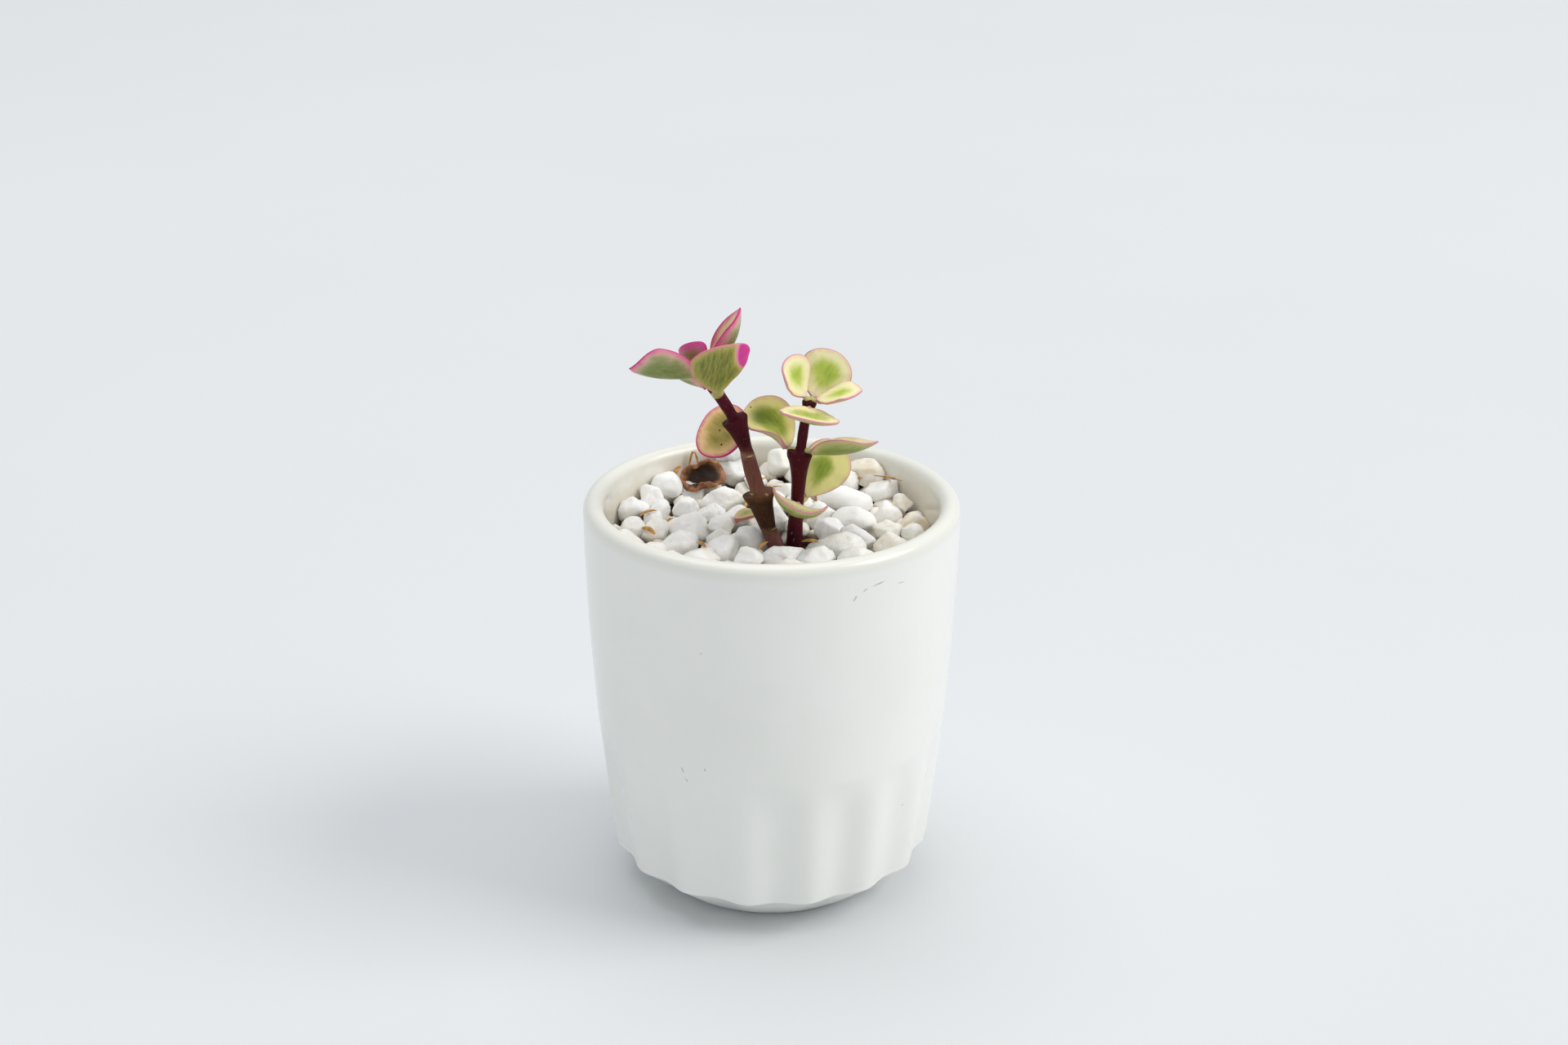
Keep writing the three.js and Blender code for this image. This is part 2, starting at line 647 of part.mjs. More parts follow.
// A worn pebble: a slightly boxy ball whose points are pushed in and out.
function pebbleGeometry({ size, centre, turn }, random) {
  const boxy = (value) => Math.sign(value) * Math.abs(value) ** WORN.boxiness;
  const pointAt = (climb, around) => {
    const bump = mix(...WORN.bumps, random());
    const level = boxy(Math.cos(climb)) * bump;
    const point = vector(
      (size[0] / 2) * level * boxy(Math.cos(around)),
      (size[1] / 2) * level * boxy(Math.sin(around)),
      (size[2] / 2) * Math.sin(climb) * bump,
    );
    return point.applyAxisAngle(vector(0, 0, 1), degrees(turn)).add(centre);
  };
  const ring = (climb) => {
    const points = [];
    for (let i = 0; i < SIDES.pebble; i++) {
      points.push(pointAt(degrees(climb), (2 * Math.PI * i) / SIDES.pebble));
    }
    return points;
  };
  const pole = (sign) => [centre.clone().add(vector(0, 0, (sign * size[2]) / 2))];
  return skin([pole(-1), ...WORN.climbs.map(ring), pole(1)]);
}

// The stones stand in the packed layer under them. Together they fill the pot from wall to wall.
function gravelGeometry() {
  const random = seededNumbers(SEED);
  const radius = bedRadius(SOIL.top);
  const ring = (heightAt) => levelRing(SIDES.soil, 0, () => radius, heightAt);
  const bottom = (x, y) => soilTop(x, y) + FIT_GAP;
  const layerTop = (x, y) => soilTop(x, y) + BED.layerRise + backHeap(y);
  const layer = skin([
    [vector(0, 0, bottom(0, 0))],
    ring(bottom),
    ring(layerTop),
    [vector(0, 0, layerTop(0, 0))],
  ]);
  const room = skin([
    [vector(0, 0, bottom(0, 0))],
    ring(bottom),
    ring(() => BED.roomTop),
    [vector(0, 0, BED.roomTop)],
  ]);
  const stones = allStones(random).map((stone) => solidOf(pebbleGeometry(stone, random)));
  const heap = stones.reduce((all, stone) => all.add(stone), solidOf(layer));
  const gravel = heap.intersect(solidOf(room)).subtract(grownStems()).subtract(grownScraps());
  return geometryOf(largestBody(gravel));
}

addPiece("gravel", gravelGeometry(), new THREE.Color(0.8, 0.79, 0.76), 0.5);

export default plant;
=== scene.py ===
"""Two rooted cuttings of variegated elephant bush in a small fluted white pot with marble gravel.

The frame is in metres, +Z up, +X right, -Y towards the viewer, with its origin in the middle of
the pot's foot. Sizes and places are written here in millimetres and become metres where a mesh
is made.
"""

import logging
import math
from dataclasses import dataclass, field
from enum import Enum
from typing import Callable, Iterable, Sequence

import bpy
import numpy as np
from mathutils import Matrix, Vector


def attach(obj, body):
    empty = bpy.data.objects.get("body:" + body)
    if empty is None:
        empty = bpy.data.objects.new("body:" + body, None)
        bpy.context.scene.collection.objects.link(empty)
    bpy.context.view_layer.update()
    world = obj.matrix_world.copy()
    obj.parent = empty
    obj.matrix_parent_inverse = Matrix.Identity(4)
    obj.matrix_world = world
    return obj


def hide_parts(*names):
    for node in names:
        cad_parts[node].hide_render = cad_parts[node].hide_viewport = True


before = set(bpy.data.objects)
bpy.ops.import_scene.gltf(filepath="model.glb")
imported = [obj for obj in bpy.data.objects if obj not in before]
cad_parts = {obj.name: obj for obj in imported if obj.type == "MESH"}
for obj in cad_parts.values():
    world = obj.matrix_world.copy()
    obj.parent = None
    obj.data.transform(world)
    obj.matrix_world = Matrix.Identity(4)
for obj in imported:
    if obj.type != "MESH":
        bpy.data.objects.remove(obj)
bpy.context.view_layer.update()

log = logging.getLogger("potted_elephant_bush")

MM = 0.001
SEED = 20617

Colour = tuple[float, float, float, float]
Point = tuple[float, float, float]
Station = tuple[float, float, float, float]


# ---------------------------------------------------------------------------
# Colours and numbers
# ---------------------------------------------------------------------------


def tone(red: float, green: float, blue: float) -> Colour:
    """The colour of a tone written as it looks on a screen.

    Args:
        red: Red, 0 to 255.
        green: Green, 0 to 255.
        blue: Blue, 0 to 255.

    Returns:
        The linear colour with an alpha of 1.
    """

    def linear(value: float) -> float:
        """One channel, from the screen's curve to linear light."""
        share = value / 255
        return share / 12.92 if share <= 0.04045 else ((share + 0.055) / 1.055) ** 2.4

    return (linear(red), linear(green), linear(blue), 1.0)


def mix(start: float, end: float, share: float) -> float:
    """The value a share of the way from start to end."""
    return start + (end - start) * share


class SeededNumbers:
    """Numbers from 0 to 1, the same ones each run and the same as the solids were made with."""

    FACTOR = 1664525
    STEP = 1013904223
    RANGE = 2**32

    def __init__(self, seed: int) -> None:
        """Starts the row of numbers at a seed."""
        self.state = seed

    def draw(self) -> float:
        """The next number."""
        self.state = (self.state * self.FACTOR + self.STEP) % self.RANGE
        return self.state / self.RANGE


# ---------------------------------------------------------------------------
# Node trees
# ---------------------------------------------------------------------------


class Wiring:
    """A node tree under construction: each call adds a node and feeds its inputs."""

    def __init__(self, tree: bpy.types.NodeTree) -> None:
        """Keeps the tree that is wired."""
        self.tree = tree

    @staticmethod
    def socket(sockets: Iterable[bpy.types.NodeSocket], key: str | int) -> bpy.types.NodeSocket:
        """The socket in use that has a name, or the one at a place in the row.

        Args:
            sockets: A node's inputs or outputs.
            key: The socket's name or its place.

        Returns:
            The socket.
        """
        if isinstance(key, int):
            return sockets[key]
        return next(s for s in sockets if s.name == key and s.enabled)

    def feed(self, socket: bpy.types.NodeSocket, value: object) -> None:
        """Links a socket to another one, or gives it a value of its own."""
        if isinstance(value, bpy.types.NodeSocket):
            self.tree.links.new(value, socket)
        else:
            socket.default_value = value

    def add(self, kind: str, inputs: dict | None = None, **settings: object) -> bpy.types.Node:
        """Adds a node.

        Args:
            kind: The node's type.
            inputs: Values or sockets for its inputs, by name or place.
            **settings: The node's own properties.

        Returns:
            The node.
        """
        node = self.tree.nodes.new(kind)
        for name, value in settings.items():
            setattr(node, name, value)
        for key, value in (inputs or {}).items():
            self.feed(self.socket(node.inputs, key), value)
        return node

    def out(self, kind: str, output: str | int, inputs: dict | None = None, **settings: object):
        """Adds a node and gives back one of its outputs."""
        return self.socket(self.add(kind, inputs, **settings).outputs, output)

    def math(self, operation: str, *values: object):
        """The result of a Math node on up to three values."""
        return self.out("ShaderNodeMath", 0, dict(enumerate(values)), operation=operation)

    def times(self, value: object, factor: object):
        """A value multiplied by a factor."""
        return self.math("MULTIPLY", value, factor)

    def plus(self, value: object, more: object):
        """The sum of two values."""
        return self.math("ADD", value, more)

    def minus(self, value: object, less: object):
        """The first value less the second."""
        return self.math("SUBTRACT", value, less)

    def rest(self, share: object):
        """What a share leaves of 1."""
        return self.math("SUBTRACT", 1.0, share)

    def vectors(self, operation: str, *values: object):
        """The vector result of a Vector Math node on up to three vectors."""
        inputs = dict(enumerate(values))
        return self.out("ShaderNodeVectorMath", "Vector", inputs, operation=operation)

    def measure(self, operation: str, *values: object):
        """The number that a Vector Math node makes of up to two vectors."""
        inputs = dict(enumerate(values))
        return self.out("ShaderNodeVectorMath", "Value", inputs, operation=operation)

    def scaled(self, vector: object, factor: object):
        """A vector made longer or shorter by a factor."""
        inputs = {0: vector, "Scale": factor}
        return self.out("ShaderNodeVectorMath", "Vector", inputs, operation="SCALE")

    def parts(self, vector: object) -> list:
        """The three numbers of a vector."""
        return list(self.add("ShaderNodeSeparateXYZ", {0: vector}).outputs)

    def joined(self, x: object, y: object, z: object):
        """A vector of three numbers."""
        return self.out("ShaderNodeCombineXYZ", 0, {0: x, 1: y, 2: z})

    def blend(self, share: object, first: object, second: object):
        """A colour a share of the way from the first to the second."""
        inputs = {0: share, 6: first, 7: second}
        return self.out("ShaderNodeMix", 2, inputs, data_type="RGBA")

    def ease(self, value: object, low: object, high: object):
        """0 below low and 1 above high, with a soft rise between them."""
        inputs = {"Value": value, "From Min": low, "From Max": high}
        return self.out("ShaderNodeMapRange", "Result", inputs, interpolation_type="SMOOTHSTEP")

    def spread(self, value: object, low: object, high: object):
        """A share from 0 to 1 spread over the range from low to high."""
        inputs = {"Value": value, "To Min": low, "To Max": high}
        return self.out("ShaderNodeMapRange", "Result", inputs)

    def noise(self, place: object, scale: float, detail: float = 3, rough: float = 0.5):
        """The value of a Noise texture."""
        inputs = {"Vector": place, "Scale": scale, "Detail": detail, "Roughness": rough}
        return self.out("ShaderNodeTexNoise", 0, inputs)

    def deliver(self, geometry: object, finish: object) -> bpy.types.NodeTree:
        """Ends a Geometry Nodes tree: smooth shading, real instances and the finish.

        Args:
            geometry: The shape.
            finish: The material.

        Returns:
            The tree.
        """
        smooth = self.out("GeometryNodeSetShadeSmooth", 0, {"Geometry": geometry})
        real = self.out("GeometryNodeRealizeInstances", 0, {"Geometry": smooth})
        dress = {"Geometry": real, "Material": finish}
        self.add("NodeGroupOutput", {"Geometry": self.out("GeometryNodeSetMaterial", 0, dress)})
        return self.tree


def new_group(name: str, kind: str, inputs: dict[str, tuple], outputs: dict[str, str]) -> Wiring:
    """Starts a node group with named sockets.

    Args:
        name: The group's name.
        kind: "ShaderNodeTree" or "GeometryNodeTree".
        inputs: The socket type and the value of each input, by name.
        outputs: The socket type of each output, by name.

    Returns:
        The wiring of the new group.
    """
    tree = bpy.data.node_groups.new(name, kind)
    for label, (socket_type, value) in inputs.items():
        made = tree.interface.new_socket(label, in_out="INPUT", socket_type=socket_type)
        if value is not None:
            made.default_value = value
    for label, socket_type in outputs.items():
        tree.interface.new_socket(label, in_out="OUTPUT", socket_type=socket_type)
    return Wiring(tree)


class Effect(Enum):
    """The surface effects that several finishes share, each one shader node group."""

    MOTTLE = "mottle"
    SPECKS = "specks"
    GRAIN = "grain"
    MARK = "mark"

    def group(self) -> bpy.types.NodeTree:
        """The effect's node group, which is built the first time that it is asked for."""
        found = bpy.data.node_groups.get(self.value)
        return found or getattr(self, f"_build_{self.value}")().tree

    def place(self, wiring: Wiring, **inputs: object):
        """Puts the effect in a material.

        Args:
            wiring: The material's wiring.
            **inputs: The group's inputs, with their names in lower case.

        Returns:
            The effect's output.
        """
        node = wiring.add("ShaderNodeGroup", node_tree=self.group())
        for key, value in inputs.items():
            wiring.feed(node.inputs[key.capitalize()], value)
        return node.outputs[0]

    def _build_mottle(self) -> Wiring:
        """Soft cloudy patches: a share from 0 to 1."""
        inputs = {
            "Place": ("NodeSocketVector", None),
            "Size": ("NodeSocketFloat", 1.0),
            "Low": ("NodeSocketFloat", 0.35),
            "High": ("NodeSocketFloat", 0.65),
        }
        wiring = new_group(self.value, "ShaderNodeTree", inputs, {"Share": "NodeSocketFloat"})
        given = wiring.add("NodeGroupInput").outputs
        scale = wiring.math("DIVIDE", 1.0, given["Size"])
        cloud = wiring.noise(given["Place"], scale, 4, 0.55)
        share = wiring.ease(cloud, given["Low"], given["High"])
        wiring.add("NodeGroupOutput", {"Share": share})
        return wiring

    def _build_specks(self) -> Wiring:
        """Small scattered dots: a mask that is 1 on a dot."""
        inputs = {
            "Place": ("NodeSocketVector", None),
            "Spacing": ("NodeSocketFloat", 1.0),
            "Radius": ("NodeSocketFloat", 0.2),
            "Amount": ("NodeSocketFloat", 0.3),
        }
        wiring = new_group(self.value, "ShaderNodeTree", inputs, {"Mask": "NodeSocketFloat"})
        given = wiring.add("NodeGroupInput").outputs
        scale = wiring.math("DIVIDE", 1.0, given["Spacing"])
        cells = wiring.add("ShaderNodeTexVoronoi", {"Vector": given["Place"], "Scale": scale})
        chance = wiring.parts(cells.outputs["Color"])
        radius = wiring.times(given["Radius"], chance[1])
        inner = wiring.times(radius, 0.5)
        dot = wiring.rest(wiring.ease(cells.outputs["Distance"], inner, radius))
        chosen = wiring.math("LESS_THAN", chance[0], given["Amount"])
        wiring.add("NodeGroupOutput", {"Mask": wiring.times(dot, chosen)})
        return wiring

    def _build_grain(self) -> Wiring:
        """Fine unevenness: the surface's normal, tilted by small bumps."""
        inputs = {
            "Place": ("NodeSocketVector", None),
            "Size": ("NodeSocketFloat", 1.0),
            "Depth": ("NodeSocketFloat", 0.05),
            "Strength": ("NodeSocketFloat", 1.0),
        }
        wiring = new_group(self.value, "ShaderNodeTree", inputs, {"Normal": "NodeSocketVector"})
        given = wiring.add("NodeGroupInput").outputs
        scale = wiring.math("DIVIDE", 1.0, given["Size"])
        height = wiring.noise(given["Place"], scale, 5, 0.6)
        depth = wiring.times(given["Depth"], MM)
        bump = {"Height": height, "Distance": depth, "Strength": given["Strength"]}
        normal = wiring.out("ShaderNodeBump", "Normal", bump)
        wiring.add("NodeGroupOutput", {"Normal": normal})
        return wiring

    def _build_mark(self) -> Wiring:
        """A short slanted line seen from the front: a mask that is 1 on it."""
        inputs = {
            "Place": ("NodeSocketVector", None),
            "Middle": ("NodeSocketVector", None),
            "Length": ("NodeSocketFloat", 1.0),
            "Width": ("NodeSocketFloat", 0.2),
            "Slant": ("NodeSocketFloat", 0.0),
            "Broken": ("NodeSocketFloat", 1.0),
        }
        wiring = new_group(self.value, "ShaderNodeTree", inputs, {"Mask": "NodeSocketFloat"})
        given = wiring.add("NodeGroupInput").outputs
        apart = wiring.vectors("SUBTRACT", given["Place"], given["Middle"])
        inputs = {"Vector": apart, "Angle": given["Slant"]}
        turned = wiring.out("ShaderNodeVectorRotate", 0, inputs, rotation_type="Y_AXIS")
        along, _, beside = wiring.parts(turned)
        along = wiring.math("DIVIDE", along, given["Length"])
        beside = wiring.math("DIVIDE", beside, given["Width"])
        distance = wiring.measure("LENGTH", wiring.joined(along, beside, 0.0))
        line = wiring.rest(wiring.ease(distance, 0.4, 1.0))
        gaps = wiring.ease(wiring.noise(given["Place"], 2.4, 5, 0.7), 0.5, 0.4)
        gaps = wiring.times(gaps, given["Broken"])
        whole = wiring.times(line, wiring.rest(gaps))
        front = wiring.math("LESS_THAN", wiring.parts(given["Place"])[1], 0.0)
        wiring.add("NodeGroupOutput", {"Mask": wiring.times(whole, front)})
        return wiring


@dataclass(frozen=True)
class Mark:
    """A short line on a front: middle, half sizes, slant in degrees, colour, strength, gaps."""

    x: float
    z: float
    half_length: float
    half_width: float
    slant: float = 0.0
    colour: Colour = tone(120, 134, 140)
    share: float = 0.75
    broken: float = 1.0


# ---------------------------------------------------------------------------
# Finishes
# ---------------------------------------------------------------------------


@dataclass(frozen=True)
class Finish:
    """What every finish shares: a material with one Principled shader."""

    name: str

    def start(self, **constants: object) -> tuple[Wiring, bpy.types.Node]:
        """Starts the material.

        Args:
            **constants: Values of the shader's own sockets, with _ for a space.

        Returns:
            The material's wiring and its shader.
        """
        material = bpy.data.materials.new(self.name)
        material.use_nodes = True
        wiring = Wiring(material.node_tree)
        shader = material.node_tree.nodes["Principled BSDF"]
        for key, value in constants.items():
            shader.inputs[key.replace("_", " ")].default_value = value
        return wiring, shader

    def place_mm(self, wiring: Wiring):
        """The point on the object, in millimetres."""
        point = wiring.out("ShaderNodeTexCoord", "Object")
        return wiring.scaled(point, 1 / MM)

    def marked(self, wiring: Wiring, place: object, marks: Sequence[Mark], colour: object):
        """Draws marks over a colour.

        Args:
            wiring: The material's wiring.
            place: The point on the object.
            marks: The marks.
            colour: The colour under them.

        Returns:
            The colour with the marks.
        """
        for mark in marks:
            mask = Effect.MARK.place(
                wiring,
                place=place,
                middle=(mark.x, 0.0, mark.z),
                length=mark.half_length,
                width=mark.half_width,
                slant=math.radians(mark.slant),
                broken=mark.broken,
            )
            colour = wiring.blend(wiring.times(mask, mark.share), colour, mark.colour)
        return colour

    def material(self) -> bpy.types.Material:
        """The finish as a material, which is built the first time that it is asked for."""
        if self.name not in bpy.data.materials:
            self.build()
        return bpy.data.materials[self.name]

    def build(self) -> None:
        """Builds the material."""
        raise NotImplementedError


@dataclass(frozen=True)
class GlossGlaze(Finish):
    """White gloss glaze: soft waves, a warmer lip, dust and painted shade at the gravel line, a few
    scuffs.
    """

    body: Colour = tone(246, 247, 243)
    shade: Colour = tone(243, 244, 239)
    lip_tint: Colour = tone(232, 232, 221)
    lip_from: float = 84.0
    lip_rise: float = 3.0
    lip_share: float = 0.7
    pit: Colour = tone(120, 134, 140)
    pit_share: float = 0.35
    # dust and painted shade: a warm darker colour low on the inner wall, at the gravel line
    dust_and_shade: Colour = tone(222, 206, 176)
    dust_and_shade_share: float = 0.42
    dust_and_shade_waver: float = 7.0
    gravel_line: float = 83.0
    dust_and_shade_below: float = 5.0
    dust_and_shade_above: float = 1.5
    inside_from: float = 66.0
    inner_radius: float = 37.5
    scuffs: tuple[Mark, ...] = (
        Mark(16.8, 80.2, 0.9, 0.3, 60, share=0.5),
        Mark(18.9, 81.6, 0.8, 0.24, 35, share=0.5),
        Mark(21.6, 82.3, 1.7, 0.26, 12, share=0.5),
        Mark(26.2, 81.1, 0.9, 0.18, -5, share=0.45),
        Mark(-18.0, 40.2, 0.9, 0.12, -70),
        Mark(-17.2, 38.0, 1.0, 0.12, -60),
        Mark(-13.3, 41.4, 0.5, 0.12, -70),
    )

    def build(self) -> None:
        """Builds the material."""
        wiring, shader = self.start(IOR=1.52)
        place = self.place_mm(wiring)
        z = wiring.parts(place)[2]
        cloud = Effect.MOTTLE.place(wiring, place=place, size=26.0)
        colour = wiring.blend(cloud, self.body, self.shade)
        lip = wiring.ease(z, self.lip_from, self.lip_from + self.lip_rise)
        lip = wiring.times(lip, self.lip_share)
        colour = wiring.blend(lip, colour, self.lip_tint)
        # dust and painted shade on the inner wall, at the gravel line
        colour = wiring.blend(self.dust_and_shade_mask(wiring, place, z), colour, self.dust_and_shade)
        colour = self.marked(wiring, place, self.scuffs, colour)
        pits = Effect.SPECKS.place(wiring, place=place, spacing=7.0, radius=0.05, amount=0.25)
        colour = wiring.blend(wiring.times(pits, self.pit_share), colour, self.pit)
        wiring.feed(shader.inputs["Base Color"], colour)
        sheen = wiring.noise(place, 0.12, 2)
        wiring.feed(shader.inputs["Roughness"], wiring.spread(sheen, 0.13, 0.3))
        waves = Effect.GRAIN.place(wiring, place=place, size=9.0, depth=0.12, strength=0.35)
        wiring.feed(shader.inputs["Normal"], waves)

    def dust_and_shade_mask(self, wiring: Wiring, place: object, height: object):
        """Fine dust that the gravel left low on the inner wall, with painted shade where the wall
        meets the gravel.

        Args:
            wiring: The material's wiring.
            place: The point on the object.
            height: The point's height.

        Returns:
            The mask.
        """
        flat = wiring.vectors("MULTIPLY", place, (1, 1, 0))
        radius = wiring.measure("LENGTH", flat)
        inside = wiring.math("LESS_THAN", radius, self.inner_radius)
        high = wiring.math("GREATER_THAN", height, self.inside_from)
        inside = wiring.times(inside, high)
        uneven = wiring.times(wiring.noise(place, 0.3, 4), self.dust_and_shade_waver)
        full, top = self.gravel_line - self.dust_and_shade_below, self.gravel_line + self.dust_and_shade_above
        above = wiring.ease(wiring.minus(height, uneven), full, top)
        share = wiring.times(wiring.rest(above), inside)
        return wiring.times(share, self.dust_and_shade_share)


@dataclass(frozen=True)
class Marble(Finish):
    """Worn white marble: chalky skin, grey veins and a cream or tan cast on some stones."""

    white: Colour = tone(253, 252, 249)
    grey: Colour = tone(222, 223, 221)
    cream: Colour = tone(238, 220, 186)
    vein: Colour = tone(196, 197, 195)
    vein_width: tuple[float, float] = (0.002, 0.016)
    vein_share: float = 0.45
    soil_dust: Colour = tone(158, 130, 98)
    soil_dust_share: float = 0.55
    cast_shift: float = 40.0

    def build(self) -> None:
        """Builds the material."""
        wiring, shader = self.start(
            Subsurface_Weight=0.6, Subsurface_Radius=(1, 0.97, 0.9), Subsurface_Scale=0.0018
        )
        place = self.place_mm(wiring)
        cast = wiring.out("ShaderNodeAttribute", "Vector", attribute_name="cast")
        grey_share, cream_share, _ = wiring.parts(cast)
        offset = wiring.vectors("ADD", place, wiring.scaled(cast, self.cast_shift))
        cloud = Effect.MOTTLE.place(wiring, place=offset, size=1.9, low=0.34, high=0.66)
        colour = wiring.blend(wiring.times(cloud, grey_share), self.white, self.grey)
        cream_cloud = Effect.MOTTLE.place(wiring, place=offset, size=2.4, low=0.25, high=0.6)
        colour = wiring.blend(wiring.times(cream_cloud, cream_share), colour, self.cream)
        bend = wiring.noise(offset, 0.35, 3)
        vein = wiring.math("ABSOLUTE", wiring.minus(bend, 0.5))
        vein = wiring.rest(wiring.ease(vein, *self.vein_width))
        vein = wiring.times(wiring.times(vein, grey_share), self.vein_share)
        colour = wiring.blend(vein, colour, self.vein)
        crumbs = Effect.SPECKS.place(wiring, place=place, spacing=1.3, radius=0.14, amount=0.1)
        colour = wiring.blend(wiring.times(crumbs, self.soil_dust_share), colour, self.soil_dust)
        wiring.feed(shader.inputs["Base Color"], colour)
        wiring.feed(shader.inputs["Roughness"], wiring.spread(cloud, 0.42, 0.62))
        skin = Effect.GRAIN.place(wiring, place=offset, size=0.9, depth=0.2, strength=0.8)
        wiring.feed(shader.inputs["Normal"], skin)


@dataclass(frozen=True)
class PottingSoil(Finish):
    """Dark crumbly soil with lighter bits of fibre."""

    dark: Colour = tone(38, 26, 20)
    brown: Colour = tone(84, 58, 40)
    fibre: Colour = tone(140, 104, 66)

    def build(self) -> None:
        """Builds the material."""
        wiring, shader = self.start(Roughness=0.9)
        place = self.place_mm(wiring)
        cloud = Effect.MOTTLE.place(wiring, place=place, size=1.4)
        colour = wiring.blend(cloud, self.dark, self.brown)
        bits = Effect.SPECKS.place(wiring, place=place, spacing=1.1, radius=0.4, amount=0.12)
        wiring.feed(shader.inputs["Base Color"], wiring.blend(bits, colour, self.fibre))
        crumbs = Effect.GRAIN.place(wiring, place=place, size=0.8, depth=0.4, strength=1.0)
        wiring.feed(shader.inputs["Normal"], crumbs)


@dataclass(frozen=True)
class Bark(Finish):
    """Young stem skin: colours by height, fine streaks and two sizes of pale dots."""

    bands: tuple[tuple[float, Colour], ...] = ()
    marks: tuple[Mark, ...] = ()
    waver: float = 1.2
    shade: Colour = tone(30, 4, 10)
    streak_share: float = 0.55
    dot: Colour = tone(190, 150, 135)
    # spacing, radius, amount and share
    dots: tuple[tuple[float, ...], ...] = ((0.8, 0.16, 0.12, 0.6), (0.4, 0.3, 0.35, 0.3))
    gloss: float = 0.4

    def build(self) -> None:
        """Builds the material."""
        wiring, shader = self.start(Specular_IOR_Level=0.14)
        place = self.place_mm(wiring)
        height = wiring.parts(place)[2]
        low, high = self.bands[0][0], self.bands[-1][0]
        waver = wiring.times(wiring.noise(place, 0.7, 3), self.waver)
        height = wiring.plus(height, wiring.minus(waver, self.waver / 2))
        share = wiring.math("DIVIDE", wiring.minus(height, low), high - low)
        ramp = wiring.add("ShaderNodeValToRGB", {0: share})
        stops = ramp.color_ramp.elements
        stops[0].color = self.bands[0][1]
        stops[1].color = self.bands[-1][1]
        for level, colour in self.bands[1:-1]:
            stops.new((level - low) / (high - low)).color = colour
        drawn = wiring.vectors("MULTIPLY", place, (2.6, 2.6, 0.35))
        streak = Effect.MOTTLE.place(wiring, place=drawn, size=1.0, low=0.3, high=0.7)
        dark = wiring.blend(0.5, ramp.outputs[0], self.shade)
        colour = wiring.blend(wiring.times(streak, self.streak_share), ramp.outputs[0], dark)
        for spacing, radius, amount, share in self.dots:
            sizes = {"spacing": spacing, "radius": radius, "amount": amount}
            mask = Effect.SPECKS.place(wiring, place=place, **sizes)
            colour = wiring.blend(wiring.times(mask, share), colour, self.dot)
        colour = self.marked(wiring, place, self.marks, colour)
        wiring.feed(shader.inputs["Base Color"], colour)
        wiring.feed(shader.inputs["Roughness"], wiring.spread(streak, self.gloss, 0.62))
        skin = Effect.GRAIN.place(wiring, place=drawn, size=0.7, depth=0.1, strength=0.8)
        wiring.feed(shader.inputs["Normal"], skin)


@dataclass(frozen=True)
class Spot:
    """A round patch on a blade: mm along, mm across, face, radius, softness and colour."""

    along: float
    across: float
    face: float
    radius: float
    softness: float = 0.4
    colour: Colour = tone(60, 40, 26)


